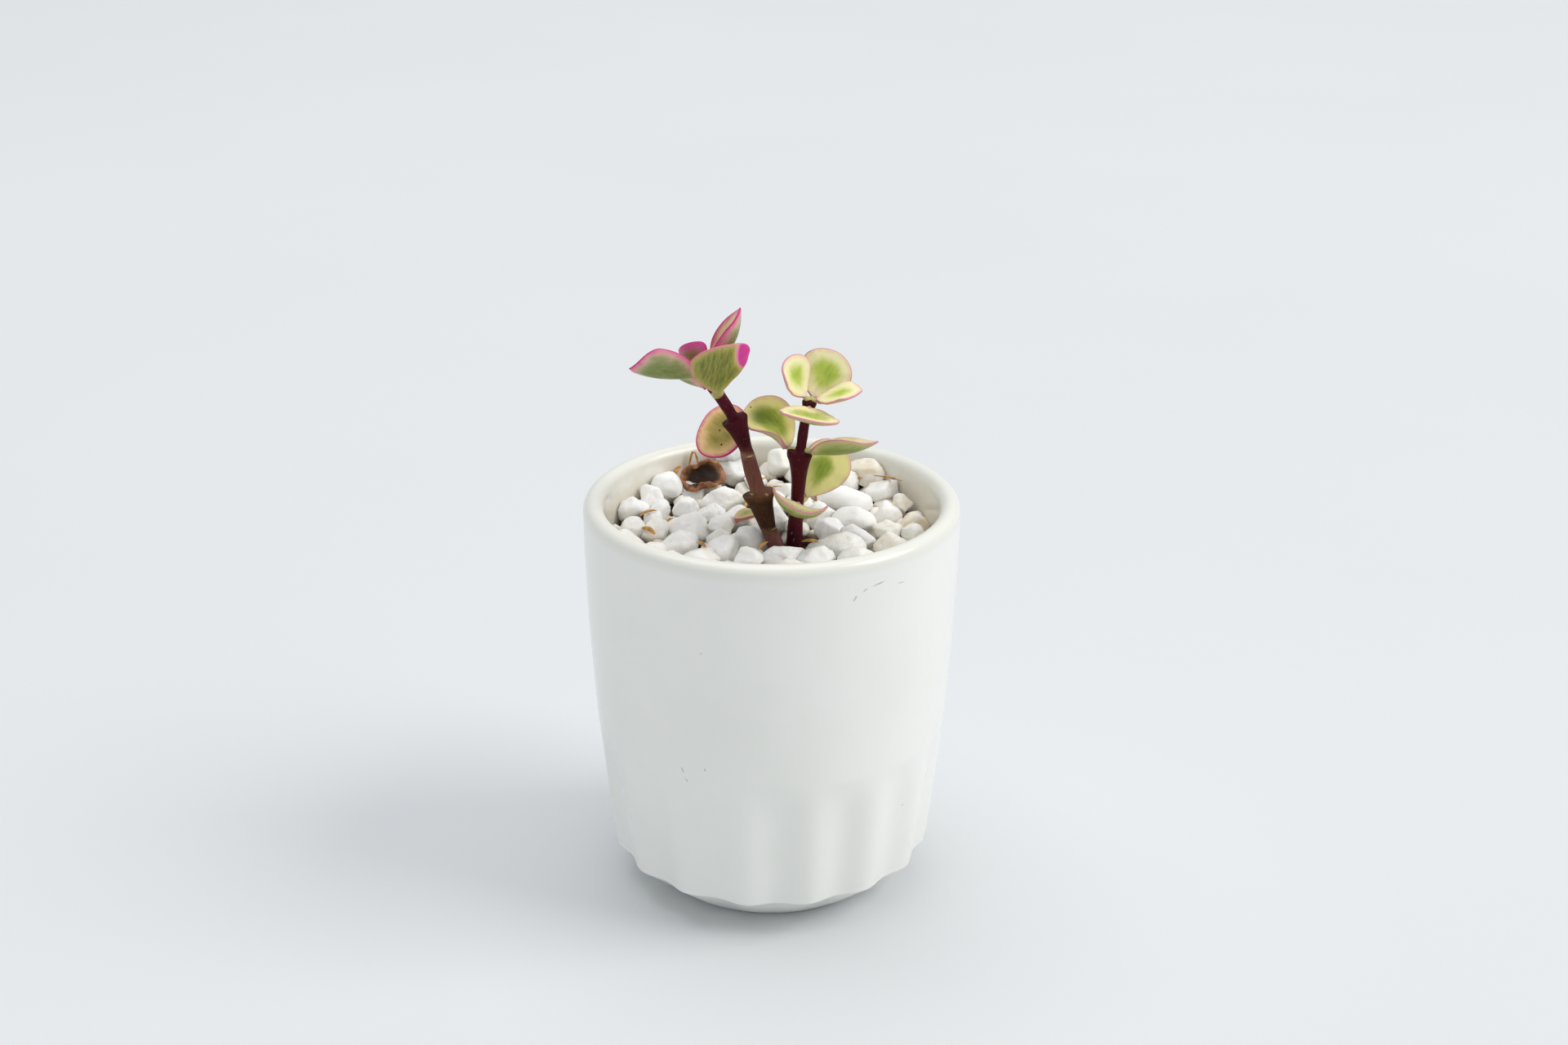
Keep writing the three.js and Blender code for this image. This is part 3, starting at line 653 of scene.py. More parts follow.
@dataclass(frozen=True)
class LeafSkin(Finish):
    """Variegated leaf: streaked green middle, cream border, pale cells, blush and a thin edge.

    The pattern reads two values of the piece: blade, which is mm along, mm across and 1 on the
    upper face, and margin, which is mm from the leaf's edge.
    """

    heart: Colour = tone(190, 202, 102)
    deep: Colour = tone(138, 156, 50)
    border: Colour = tone(252, 240, 188)
    edge: Colour = tone(216, 150, 164)
    back: Colour = tone(152, 168, 84)
    back_deep: Colour = tone(116, 134, 54)
    back_border: Colour = tone(216, 208, 152)
    blush: Colour = tone(232, 158, 150)
    border_width: float = 2.0
    back_border_width: float = 0.7
    blush_width: float = 1.0
    blush_share: float = 0.35
    edge_width: float = 0.2
    waver: float = 1.6
    raggedness: float = 0.7
    border_fade: tuple[float, float] = (-1.1, 1.3)
    heart_fade: float = 2.6
    lean: tuple[float, float] = (0.0, 0.0)
    cells: Colour = tone(220, 226, 140)
    cell_share: float = 0.16
    streak_stretch: tuple[float, float] = (0.3, 1.1)
    streakiness: float = 1.0
    spots: tuple[Spot, ...] = ()

    def build(self) -> None:
        """Builds the material."""
        wiring, shader = self.start(
            Subsurface_Weight=0.22, Subsurface_Radius=(0.9, 1, 0.35), Subsurface_Scale=0.0015
        )
        blade = wiring.out("ShaderNodeAttribute", "Vector", attribute_name="blade")
        margin = wiring.out("ShaderNodeAttribute", "Fac", attribute_name="margin")
        along, across, face = wiring.parts(blade)
        lengthways, crossways = self.streak_stretch
        drawn = wiring.joined(
            wiring.times(along, lengthways),
            wiring.times(across, crossways * self.streakiness),
            face,
        )
        streak = Effect.MOTTLE.place(wiring, place=drawn, size=1.0, low=0.2, high=0.8)
        ragged = wiring.times(wiring.minus(streak, 0.5), self.raggedness)
        cloud = wiring.noise(blade, 0.4, 2)
        inward = wiring.plus(margin, wiring.times(cloud, self.waver))
        inward = wiring.plus(wiring.minus(inward, self.waver / 2), ragged)
        for way, lean in zip((along, across), self.lean):
            inward = wiring.plus(inward, wiring.times(way, lean))
        cells = Effect.MOTTLE.place(wiring, place=blade, size=0.26, low=0.4, high=0.62)
        cells = wiring.times(cells, self.cell_share)
        upper = self.face_colour(
            wiring, inward, streak, self.heart, self.deep, self.border, self.border_width
        )
        under = self.face_colour(
            wiring, inward, streak, self.back, self.back_deep, self.back_border,
            self.back_border_width,
        )
        colour = wiring.blend(wiring.ease(face, 0.4, 0.6), under, upper)
        colour = wiring.blend(cells, colour, self.cells)
        far = wiring.ease(wiring.plus(margin, ragged), 0.1, self.blush_width)
        blush = wiring.times(wiring.rest(far), self.blush_share)
        colour = wiring.blend(blush, colour, self.blush)
        line = wiring.ease(margin, self.edge_width * 0.2, self.edge_width)
        colour = wiring.blend(wiring.rest(line), colour, self.edge)
        for spot in self.spots:
            apart = wiring.vectors("SUBTRACT", blade, (spot.along, spot.across, spot.face))
            apart = wiring.vectors("MULTIPLY", apart, (1, 1, 20))
            inner = spot.radius * (1 - spot.softness)
            outside = wiring.ease(wiring.measure("LENGTH", apart), inner, spot.radius)
            colour = wiring.blend(wiring.rest(outside), colour, spot.colour)
        wiring.feed(shader.inputs["Base Color"], colour)
        place = self.place_mm(wiring)
        sheen = wiring.noise(place, 0.8, 3)
        wiring.feed(shader.inputs["Roughness"], wiring.spread(sheen, 0.34, 0.56))
        skin = Effect.GRAIN.place(wiring, place=place, size=0.35, depth=0.035, strength=0.7)
        wiring.feed(shader.inputs["Normal"], skin)

    def face_colour(
        self, wiring: Wiring, inward: object, streak: object, green: Colour, deep: Colour,
        cream: Colour, width: float,
    ):
        """One face: cream along the margin, then green with darker streaks.

        Args:
            wiring: The material's wiring.
            inward: Ragged distance from the margin, in mm.
            streak: Share of the darker streaks.
            green: The middle's colour.
            deep: The streaks' colour.
            cream: The border's colour.
            width: The border's width, in mm.

        Returns:
            The colour.
        """
        middle = wiring.times(streak, wiring.ease(inward, width, width + self.heart_fade))
        green_part = wiring.blend(middle, green, deep)
        inside = wiring.ease(inward, *(width + fade for fade in self.border_fade))
        return wiring.blend(inside, cream, green_part)


@dataclass(frozen=True)
class DryTissue(Finish):
    """Dead leaf or husk: brown to straw, streaked along it, dark stains, painted shade in the
    hollow.
    """

    light: Colour = tone(176, 122, 74)
    dark: Colour = tone(96, 52, 28)
    stain: Colour = tone(44, 22, 12)
    # painted shade: the colour that darkens the inside of the curled blade, away from its margin
    hollow: Colour = tone(34, 16, 8)
    stretch: Point = (1.0, 1.0, 1.0)
    stain_share: float = 0.6
    hollow_shade_share: float = 0.95
    hollow_shade_fade: tuple[float, float] = (0.5, 2.0)

    def build(self) -> None:
        """Builds the material."""
        wiring, shader = self.start()
        place = self.place_mm(wiring)
        drawn = wiring.vectors("MULTIPLY", place, self.stretch)
        cloud = Effect.MOTTLE.place(wiring, place=drawn, size=1.5, low=0.3, high=0.7)
        colour = wiring.blend(cloud, self.light, self.dark)
        stains = Effect.MOTTLE.place(wiring, place=place, size=2.2, low=0.56, high=0.72)
        colour = wiring.blend(wiring.times(stains, self.stain_share), colour, self.stain)
        blade = wiring.out("ShaderNodeAttribute", "Vector", attribute_name="blade")
        margin = wiring.out("ShaderNodeAttribute", "Fac", attribute_name="margin")
        # painted shade in the curl's hollow: the upper face darkens away from the margin
        inner = wiring.times(wiring.parts(blade)[2], wiring.ease(margin, *self.hollow_shade_fade))
        colour = wiring.blend(wiring.times(inner, self.hollow_shade_share), colour, self.hollow)
        wiring.feed(shader.inputs["Base Color"], colour)
        wiring.feed(shader.inputs["Roughness"], wiring.spread(cloud, 0.55, 0.8))
        skin = Effect.GRAIN.place(wiring, place=drawn, size=0.5, depth=0.16, strength=1.0)
        wiring.feed(shader.inputs["Normal"], skin)


@dataclass(frozen=True)
class PalePaint(Finish):
    """The plain pale floor."""

    colour: Colour = tone(222, 225, 227)

    def build(self) -> None:
        """Builds the material."""
        wiring, shader = self.start(Roughness=0.75)
        cloud = Effect.MOTTLE.place(wiring, place=self.place_mm(wiring), size=400.0)
        shaded = tuple(channel * 0.985 for channel in self.colour[:3]) + (1.0,)
        wiring.feed(shader.inputs["Base Color"], wiring.blend(cloud, self.colour, shaded))


# ---------------------------------------------------------------------------
# Meshes
# ---------------------------------------------------------------------------


@dataclass
class Shell:
    """Points in millimetres, faces, and the values that a finish or tree reads at each point."""

    points: list[np.ndarray] = field(default_factory=list)
    faces: list[tuple[int, ...]] = field(default_factory=list)
    values: dict[str, list[np.ndarray]] = field(default_factory=dict)
    count: int = 0

    def scatter(self, points: Sequence[Sequence[float]], **values: Sequence) -> None:
        """Adds loose points.

        Args:
            points: The points.
            **values: For each value that a tree reads, its number at every point.
        """
        self.points.append(np.array(points, float))
        self.count += len(points)
        for name, numbers in values.items():
            self.values.setdefault(name, []).append(np.array(numbers, float))

    def skin(self, rings: Sequence[np.ndarray], **values: Sequence[np.ndarray]) -> None:
        """Adds a closed body through rings of points that run counterclockwise seen from above.

        Args:
            rings: Rings from the lowest to the highest. The first and last are single points.
            **values: For each value that the finish reads, its numbers for every ring.
        """
        starts = []
        for ring in rings:
            starts.append(self.count)
            self.points.append(np.asarray(ring, float))
            self.count += len(ring)
        for name, numbers in values.items():
            self.values.setdefault(name, []).extend(numbers)
        for i in range(len(rings) - 1):
            lower, upper = len(rings[i]), len(rings[i + 1])
            count = max(lower, upper)
            for j in range(count):
                k = (j + 1) % count
                a = starts[i] + (j if lower > 1 else 0)
                b = starts[i] + (k if lower > 1 else 0)
                c = starts[i + 1] + (k if upper > 1 else 0)
                d = starts[i + 1] + (j if upper > 1 else 0)
                if lower == 1:
                    self.faces.append((a, c, d))
                elif upper == 1:
                    self.faces.append((a, b, c))
                else:
                    self.faces.append((a, b, c, d))

    def piece(self, name: str, finish: Finish | None = None) -> bpy.types.Object:
        """Makes the piece, smooth shaded, with its place in its mesh.

        Args:
            name: The piece's name.
            finish: Its finish, unless a node tree sets it later.

        Returns:
            The object.
        """
        mesh = bpy.data.meshes.new(name)
        points = np.concatenate(self.points) * MM
        mesh.from_pydata(points.tolist(), [], self.faces)
        for value_name, numbers in self.values.items():
            column = np.concatenate([np.asarray(n, float) for n in numbers])
            vector = column.ndim == 2
            kind, slot = ("FLOAT_VECTOR", "vector") if vector else ("FLOAT", "value")
            made = mesh.attributes.new(value_name, kind, "POINT")
            made.data.foreach_set(slot, column.astype(np.float32).ravel())
        mesh.polygons.foreach_set("use_smooth", [True] * len(mesh.polygons))
        if finish:
            mesh.materials.append(finish.material())
        made_piece = bpy.data.objects.new(name, mesh)
        bpy.context.scene.collection.objects.link(made_piece)
        return made_piece


def rounded_line(stations: Sequence[Station], steps: int) -> np.ndarray:
    """A smooth row of stations through given ones.

    Args:
        stations: Rows of x, y, z and radius.
        steps: New stations for each stretch.

    Returns:
        The rows of the smooth line.
    """
    given = np.array(stations, float)
    padded = np.vstack([2 * given[0] - given[1], given, 2 * given[-1] - given[-2]])
    rows = []
    for i in range(1, len(padded) - 2):
        before, start, end, after = padded[i - 1 : i + 3]
        reach = np.linalg.norm(end[:3] - start[:3])
        slope_in = (end - before) / (reach + np.linalg.norm(start[:3] - before[:3])) * reach
        slope_out = (after - start) / (reach + np.linalg.norm(after[:3] - end[:3])) * reach
        for step in range(steps):
            t = step / steps
            rows.append(
                start * (2 * t**3 - 3 * t**2 + 1)
                + slope_in * (t**3 - 2 * t**2 + t)
                + end * (3 * t**2 - 2 * t**3)
                + slope_out * (t**3 - t**2)
            )
    rows.append(given[-1])
    return np.array(rows)


def tube_rings(
    line: np.ndarray, sides: int, swell: Callable[[np.ndarray, np.ndarray], np.ndarray] | None = None
) -> list[np.ndarray]:
    """Rings across a line of stations, closed by a point at each end.

    Args:
        line: Rows of x, y, z and radius.
        sides: Points in a ring.
        swell: What a ring's radii are multiplied by, from its station and its angles.

    Returns:
        The rings.
    """
    angles = 2 * np.pi * np.arange(sides) / sides
    centres = line[:, :3]
    rings = [centres[:1]]
    for i, row in enumerate(line):
        along = centres[min(len(line) - 1, i + 1)] - centres[max(0, i - 1)]
        along = along / np.linalg.norm(along)
        back = np.array([0.0, 1.0, 0.0]) - along * along[1]
        back = back / np.linalg.norm(back)
        right = np.cross(back, along)
        radii = row[3] * (swell(row, angles) if swell else np.ones(sides))
        ring = centres[i] + np.outer(radii * np.cos(angles), right)
        rings.append(ring + np.outer(radii * np.sin(angles), back))
    rings.append(centres[-1:])
    return rings


def grown(piece: bpy.types.Object, tree: bpy.types.NodeTree, **settings: object) -> bpy.types.Object:
    """Runs a Geometry Nodes tree on a piece and keeps its result as the piece's plain mesh.

    Args:
        piece: The piece with the tree's starting points.
        tree: The tree.
        **settings: The tree's inputs, with _ for a space.

    Returns:
        The piece.
    """
    modifier = piece.modifiers.new(tree.name, "NODES")
    modifier.node_group = tree
    for item in tree.interface.items_tree:
        key = item.name.replace(" ", "_").lower()
        if item.item_type == "SOCKET" and item.in_out == "INPUT" and key in settings:
            modifier[item.identifier] = settings[key]
    graph = bpy.context.evaluated_depsgraph_get()
    finished = bpy.data.meshes.new_from_object(
        piece.evaluated_get(graph), preserve_all_data_layers=True, depsgraph=graph
    )
    piece.modifiers.remove(modifier)
    piece.data = finished
    finished.name = piece.name
    return piece


def hand_over(piece: bpy.types.Object, slot: str, *nodes: str) -> None:
    """Lets a piece ride on the part and stand for CAD nodes.

    Args:
        piece: The piece.
        slot: Not used.
        *nodes: The CAD nodes that it stands for.
    """
    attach(piece, "root")
    if nodes:
        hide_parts(*nodes)
    log.info("%s: %d faces", piece.name, len(piece.data.polygons))


# ---------------------------------------------------------------------------
# Pot
# ---------------------------------------------------------------------------


@dataclass
class Pot:
    """Turned white pot with hollow flutes round its lower part, a rounded lip and a foot ring."""

    height: float = 88.0
    rim_radius: float = 40.0
    edge_radius: float = 34.8
    edge_height: float = 8.6
    foot_radius: float = 24.1
    foot_ring_width: float = 6.0
    foot_recess: float = 1.4
    wall: float = 4.3
    floor_top: float = 7.0
    flute_count: int = 16
    flute_turn: float = -8.5
    flute_depth: float = 1.35
    flute_full_height: float = 25.0
    flute_top_height: float = 38.0
    plain_wall: tuple[float, float] = (42.0, 84.0)
    edge_round: float = 0.7
    foot_round: float = 0.5
    turning_steps: int = 320
    finish: Finish = GlossGlaze("white_gloss_glaze")

    def wall_radius(self, z: float) -> float:
        """The plain wall's outer radius at a height."""
        below = (self.height - z) / (self.height - self.edge_height)
        return self.rim_radius - (self.rim_radius - self.edge_radius) * below * below

    def outline(self) -> list[Point]:
        """The turned outline from the axis under the pot to the axis on its inner floor.

        Returns:
            Rows of radius, height and how much of the flutes' depth applies there.
        """
        ring_inside = self.foot_radius - self.foot_ring_width
        rows = [(0.0, self.foot_recess, 0.0), (ring_inside - 3, self.foot_recess, 0.0)]
        rows += [(ring_inside - 1.4, self.foot_recess - 0.1, 0.0), (ring_inside - 0.2, 0.3, 0.0)]
        rows += [(ring_inside + 0.3, 0.0, 0.0), (self.foot_radius - self.foot_round, 0.0, 0.0)]
        rows += [(self.foot_radius - 0.12, 0.1, 0.0), (self.foot_radius + 0.25, 0.4, 0.0)]
        for step in range(1, 9):
            share = step / 9
            radius = mix(self.foot_radius, self.edge_radius, share)
            rows.append((radius, mix(0.0, self.edge_height, share), share))
        for turn in (-45, -25, -5, 15):
            radius = self.edge_radius - self.edge_round * (1 - math.cos(math.radians(turn)))
            height = self.edge_height + self.edge_round * (0.35 + math.sin(math.radians(turn)))
            rows.append((radius, height, 1.0))
        height = self.edge_height + 1.3
        while height < self.flute_top_height + 1:
            rows.append((self.wall_radius(height), height, 1.0))
            height += 0.7
        rows += [(self.wall_radius(z), z, 0.0) for z in np.linspace(*self.plain_wall, 15)]
        lip = self.wall / 2
        for turn in np.linspace(0, 180, 19):
            radius = self.rim_radius - lip + lip * math.cos(math.radians(turn))
            rows.append((radius, self.height - lip + lip * math.sin(math.radians(turn)), 0.0))
        inner = (82, 76, 70, 58, 46, 34, 24, 16, 12)
        rows += [(self.wall_radius(z) - self.wall, z, 0.0) for z in inner]
        bottom = self.wall_radius(self.edge_height) - self.wall
        rows += [(bottom - 1.5, self.floor_top + 3, 0.0), (bottom - 4, self.floor_top + 1, 0.0)]
        rows += [(bottom - 9, self.floor_top, 0.0), (0.0, self.floor_top, 0.0)]
        return rows

    def tree(self) -> bpy.types.NodeTree:
        """The tree that turns the outline round the axis and cuts the flutes.

        Returns:
            The Geometry Nodes tree.
        """
        inputs = {
            "Outline": ("NodeSocketGeometry", None),
            "Stations": ("NodeSocketInt", 2),
            "Turning Steps": ("NodeSocketInt", 64),
            "Flute Count": ("NodeSocketInt", 16),
            "Flute Turn": ("NodeSocketFloat", 0.0),
            "Flute Depth": ("NodeSocketFloat", 0.0),
            "Full Height": ("NodeSocketFloat", 0.0),
            "Top Height": ("NodeSocketFloat", 1.0),
            "Finish": ("NodeSocketMaterial", None),
        }
        outputs = {"Geometry": "NodeSocketGeometry"}
        wiring = new_group("turned_fluted_pot", "GeometryNodeTree", inputs, outputs)
        given = wiring.add("NodeGroupInput").outputs
        around = wiring.plus(given["Turning Steps"], 1)
        grid = {0: 1.0, 1: 1.0, 2: around, 3: given["Stations"]}
        sheet = wiring.out("GeometryNodeMeshGrid", "Mesh", grid)
        place = wiring.parts(wiring.out("GeometryNodeInputPosition", 0))
        last = wiring.minus(given["Stations"], 1)
        station = wiring.times(wiring.plus(place[1], 0.5), last)
        station = wiring.math("ROUND", station)
        row = wiring.out("GeometryNodeInputPosition", 0)
        sample = {"Geometry": given["Outline"], "Value": row, "Index": station}
        point = wiring.parts(
            wiring.out("GeometryNodeSampleIndex", "Value", sample, data_type="FLOAT_VECTOR")
        )
        share = wiring.add("GeometryNodeInputNamedAttribute", {"Name": "fluted"})
        sample = {"Geometry": given["Outline"], "Value": share.outputs[0], "Index": station}
        fluted = wiring.out("GeometryNodeSampleIndex", "Value", sample, data_type="FLOAT")
        angle = wiring.times(place[0], -2 * math.pi)
        turned = wiring.minus(angle, given["Flute Turn"])
        count = wiring.math("DIVIDE", given["Flute Count"], 2 * math.pi)
        across = wiring.math("FLOORED_MODULO", wiring.times(turned, count), 1.0)
        across = wiring.minus(across, 0.5)
        climb = wiring.minus(point[2], given["Full Height"])
        rise = wiring.minus(given["Top Height"], given["Full Height"])
        climb = wiring.math("MAXIMUM", wiring.math("DIVIDE", climb, rise), 0.0)
        fade = wiring.rest(wiring.times(climb, climb))
        fade = wiring.math("SMOOTH_MAX", fade, 0.0, 0.08)
        wave = wiring.math("COSINE", wiring.times(across, 2 * math.pi))
        hollow = wiring.times(wiring.plus(wave, 1.0), 0.5)
        depth = wiring.times(hollow, wiring.times(fade, given["Flute Depth"]))
        depth = wiring.times(depth, fluted)
        radius = wiring.minus(point[0], depth)
        x = wiring.times(radius, wiring.math("SINE", angle))
        y = wiring.times(radius, wiring.math("COSINE", angle))
        moved = wiring.joined(x, wiring.times(y, -1.0), point[2])
        shaped = wiring.out("GeometryNodeSetPosition", 0, {"Geometry": sheet, "Position": moved})
        closing = {"Geometry": shaped, "Distance": 0.00001}
        closed = wiring.out("GeometryNodeMergeByDistance", 0, closing)
        return wiring.deliver(closed, given["Finish"])

    def build(self) -> None:
        """Builds the pot."""
        rows = self.outline()
        line = Shell()
        points = [(radius, 0.0, height) for radius, height, _ in rows]
        line.scatter(points, fluted=[share for _, _, share in rows])
        piece = grown(
            line.piece("glazed_pot"),
            self.tree(),
            stations=len(rows),
            turning_steps=self.turning_steps,
            flute_count=self.flute_count,
            flute_turn=math.radians(self.flute_turn),
            flute_depth=self.flute_depth * MM,
            full_height=self.flute_full_height * MM,
            top_height=self.flute_top_height * MM,
            finish=self.finish.material(),
        )
        hand_over(piece, "white_glaze", "pot")


# ---------------------------------------------------------------------------
# Soil and gravel
# ---------------------------------------------------------------------------


@dataclass
class Bed:
    """The soil in the pot, with the places and sizes that the gravel on it is worked out from."""

    pot: Pot
    top: float = 75.6
    slope: float = 0.06
    gap: float = 0.3
    heap_start: float = 16.0
    heap_slope: float = 0.16
    crumbs: tuple[float, float] = (-0.3, 0.6)
    sides: int = 96
    finish: Finish = PottingSoil("dark_potting_soil")

    def level(self, y: float | np.ndarray) -> float | np.ndarray:
        """The soil's height at a distance towards the back."""
        return self.top + self.slope * y

    def heap(self, y: float | np.ndarray) -> float | np.ndarray:
        """How much the gravel is heaped up there."""
        return self.heap_slope * np.maximum(0.0, y - self.heap_start)

    def radius(self, z: float) -> float:
        """The room inside the pot at a height."""
        return self.pot.wall_radius(z) - self.pot.wall - self.gap

    def build(self) -> None:
        """Builds the soil: a plain plug with a crumbly top that rises under the heaped gravel."""
        random = np.random.default_rng(SEED)
        angles = 2 * np.pi * np.arange(self.sides) / self.sides
        floor = self.pot.floor_top + self.gap

        def ring(radius: float, height: float | None = None) -> np.ndarray:
            """A ring of points round the axis, at a height or else on the crumbly top."""
            x, y = radius * np.cos(angles), radius * np.sin(angles)
            if height is None:
                height = self.level(y) + self.heap(y) + random.uniform(*self.crumbs, self.sides)
            return np.stack([x, y, np.broadcast_to(height, y.shape)], 1)

        bottom = self.radius(self.pot.edge_height)
        levels = [(floor, bottom - 9), (floor + 1.6, bottom - 4)]
        levels += [(z, self.radius(z)) for z in (14, 26, 46, 68, self.top - 3)]
        rings = [np.array([[0, 0, floor]])]
        rings += [ring(radius, z) for z, radius in levels]
        rings += [ring(radius) for radius in np.linspace(self.radius(self.top), 1, 24)]
        rings.append(np.array([[0, 0, self.top]]))
        shell = Shell()
        shell.skin(rings)
        hand_over(shell.piece("potting_soil_bed", self.finish), "potting_soil", "soil")


@dataclass
class Gravel:
    """Worn marble pebbles: the ones that show are listed, a seeded rule adds the rest."""

    bed: Bed
    keep_clear: list[np.ndarray]
    widths: tuple[float, float] = (5.0, 8.5)
    shape: Point = (1.0, 0.85, 0.72)
    closeness: float = 0.43
    reach: float = 32.5
    lift: float = 3.4
    attempts: int = 2500
    buried_widths: tuple[float, float] = (3.6, 5.6)
    buried_shape: Point = (1.0, 0.9, 0.8)
    buried_closeness: float = 0.4
    buried_further: float = 1.5
    buried_lift: float = 1.1
    buried_attempts: int = 1600
    stem_closeness: float = 0.45
    facets: int = 14
    facet_reach: tuple[float, float] = (0.58, 0.92)
    ball_size: float = 0.6
    wear: float = 0.045
    dent_depth: float = 1.2
    room_above: float = 6.0
    finish: Finish = Marble("worn_white_marble")
    # x, y, width, depth, height, turn, rise, grey cast, cream cast
    shown: tuple[tuple[float, ...], ...] = (
        (-30.5, 12.5, 6.5, 6, 5.5, 0, 0, 0.2, 0),
        (-27, 17.5, 5, 6, 6, 20, 0, 0.1, 0.1),
        (-23.5, 22, 6, 6.5, 6, 30, 0, 0.1, 0),
        (-24.5, 12, 5.5, 5, 4.5, 0, 0, 0.3, 0),
        (-29.5, 2, 5.5, 5.5, 5, 10, 0, 0.2, 0.1),
        (-25, 1, 5.5, 6, 5, 40, 0, 0.2, 0.3),
        (-19.5, -4.5, 8, 7, 5.5, 15, 0, 0.4, 0),
        (-19, 13, 5, 4.5, 5, 0, 0, 0.3, 0),
        (-17.5, 3.5, 8, 8.5, 6, 20, 0, 0.2, 0.1),
        (-18, 23, 7, 6, 6, 0, -1.8, 0.2, 0.1),
        (-10.5, 17, 10, 6, 5.5, 0, 0, 0.4, 0.1),
        (-9, 28.5, 7, 6, 6, 0, 0, 0.5, 0),
        (-9.5, 31, 7.5, 5.5, 5, 0, 3.6, 0.9, 0),
        (-13.5, 9.5, 6, 5.5, 5, 30, 0, 0.7, 0),
        (-11, 3, 5, 4, 5, 0, 0, 0.2, 0.2),
        (-8, 7.5, 7, 6, 5.5, 50, 0, 0.2, 0.1),
        (-5.5, -2.5, 7, 6, 5.5, 30, 0, 0.3, 0),
        (-10, -8, 7, 6, 5.5, 0, 0, 0.3, 0),
        (-5, -12.5, 6, 6, 5, 20, 0, 0.3, 0),
        (2.5, -11, 8.5, 6.5, 5.5, 0, 0, 0.5, 0),
        (9.5, -11.5, 8.5, 6, 5.5, -10, 0, 0.2, 0),
        (13.5, -6, 11, 7, 6, 5, 0, 0.6, 0.1),
        (10.5, 9, 6.5, 6, 6, 0, 0, 0.4, 0.1),
        (15.5, 16.5, 11.5, 8, 7.5, -15, 0, 0.1, 0),
        (18, 6.5, 9, 7.5, 6, -20, 0, 0.2, 0.1),
        (18, -2, 8, 5.5, 5.5, -15, 0, 0.3, 0),
        (25, 21, 7.5, 6.5, 5.5, 0, 0, 0.3, 0.1),
        (25, 10.5, 6, 6, 5.5, 0, 0, 0.2, 0.1),
        (25, 2, 7, 5, 5, 0, 0, 0.2, 0.3),
        (25, -4.5, 7, 6.5, 5.5, 0, 0, 0.2, 0.4),
        (30.5, 5.5, 6.5, 5.5, 5, 0, 0, 0.2, 0.8),
        (30, 0.5, 4.5, 4.5, 4.5, 0, 0, 0.2, 0.2),
        (21, 27, 10.5, 6, 6, 0, 0.6, 0.1, 0.7),
        (28.5, 15.5, 4.5, 4.5, 4.5, 0, 0, 0.2, 0.5),
        (1.5, 30, 6.5, 6, 6, 0, 1, 0.1, 0.2),
        (9, 21.5, 5, 5, 5, 0, 0, 0.2, 0.2),
        (17, 25, 4.5, 5, 5, 0, 0, 0.2, 0.2),
        (1.5, 6.5, 4.5, 6, 6, 0, 0, 0.3, 0),
        (-14.5, 28, 4.5, 5, 5, 0, 0, 0.2, 0.3),
    )

    def stones(self) -> list[tuple[np.ndarray, np.ndarray, float, Point]]:
        """Every stone: its centre, its size, its turn in degrees and its cast."""
        random = SeededNumbers(SEED)
        found = []
        for x, y, width, depth, height, turn, rise, grey, cream in self.shown:
            z = self.bed.level(y) + self.lift + self.bed.heap(y) + rise
            size = np.array([width, depth, height])
            found.append((np.array([x, y, z]), size, turn, (grey, cream, random_share(x, y))))
        for _ in range(self.attempts):
            distance = self.reach * math.sqrt(random.draw())
            angle = 2 * math.pi * random.draw()
            width = mix(*self.widths, random.draw())
            turn = 360 * random.draw()
            x, y = distance * math.cos(angle), distance * math.sin(angle)
            clear = all(
                math.hypot(x - other[0][0], y - other[0][1]) > self.closeness * (width + other[1][0])
                for other in found
            )
            if not clear:
                continue
            z = self.bed.level(y) + self.lift + self.bed.heap(y)
            size = width * np.array(self.shape)
            shade = random_share(x, y)
            cast = (0.1 + 0.35 * shade, 0.35 * random_share(y, x), shade)
            found.append((np.array([x, y, z]), size, turn, cast))
        return found

    def under_stones(self) -> list[tuple[np.ndarray, np.ndarray, float, Point]]:
        """Smaller stones half buried between the others."""
        random = np.random.default_rng(SEED + 1)
        near = self.buried_closeness
        found = []
        for _ in range(self.buried_attempts):
            distance = (self.reach + self.buried_further) * math.sqrt(random.random())
            angle = 2 * math.pi * random.random()
            width = random.uniform(*self.buried_widths)
            turn = 360 * random.random()
            x, y = distance * math.cos(angle), distance * math.sin(angle)
            shade = random.random()
            if all(math.hypot(x - o[0][0], y - o[0][1]) > near * (width + o[1][0]) for o in found):
                z = self.bed.level(y) + self.buried_lift + self.bed.heap(y)
                size = width * np.array(self.buried_shape)
                found.append((np.array([x, y, z]), size, turn, (0.6 * shade, 0.5, shade)))
        return found

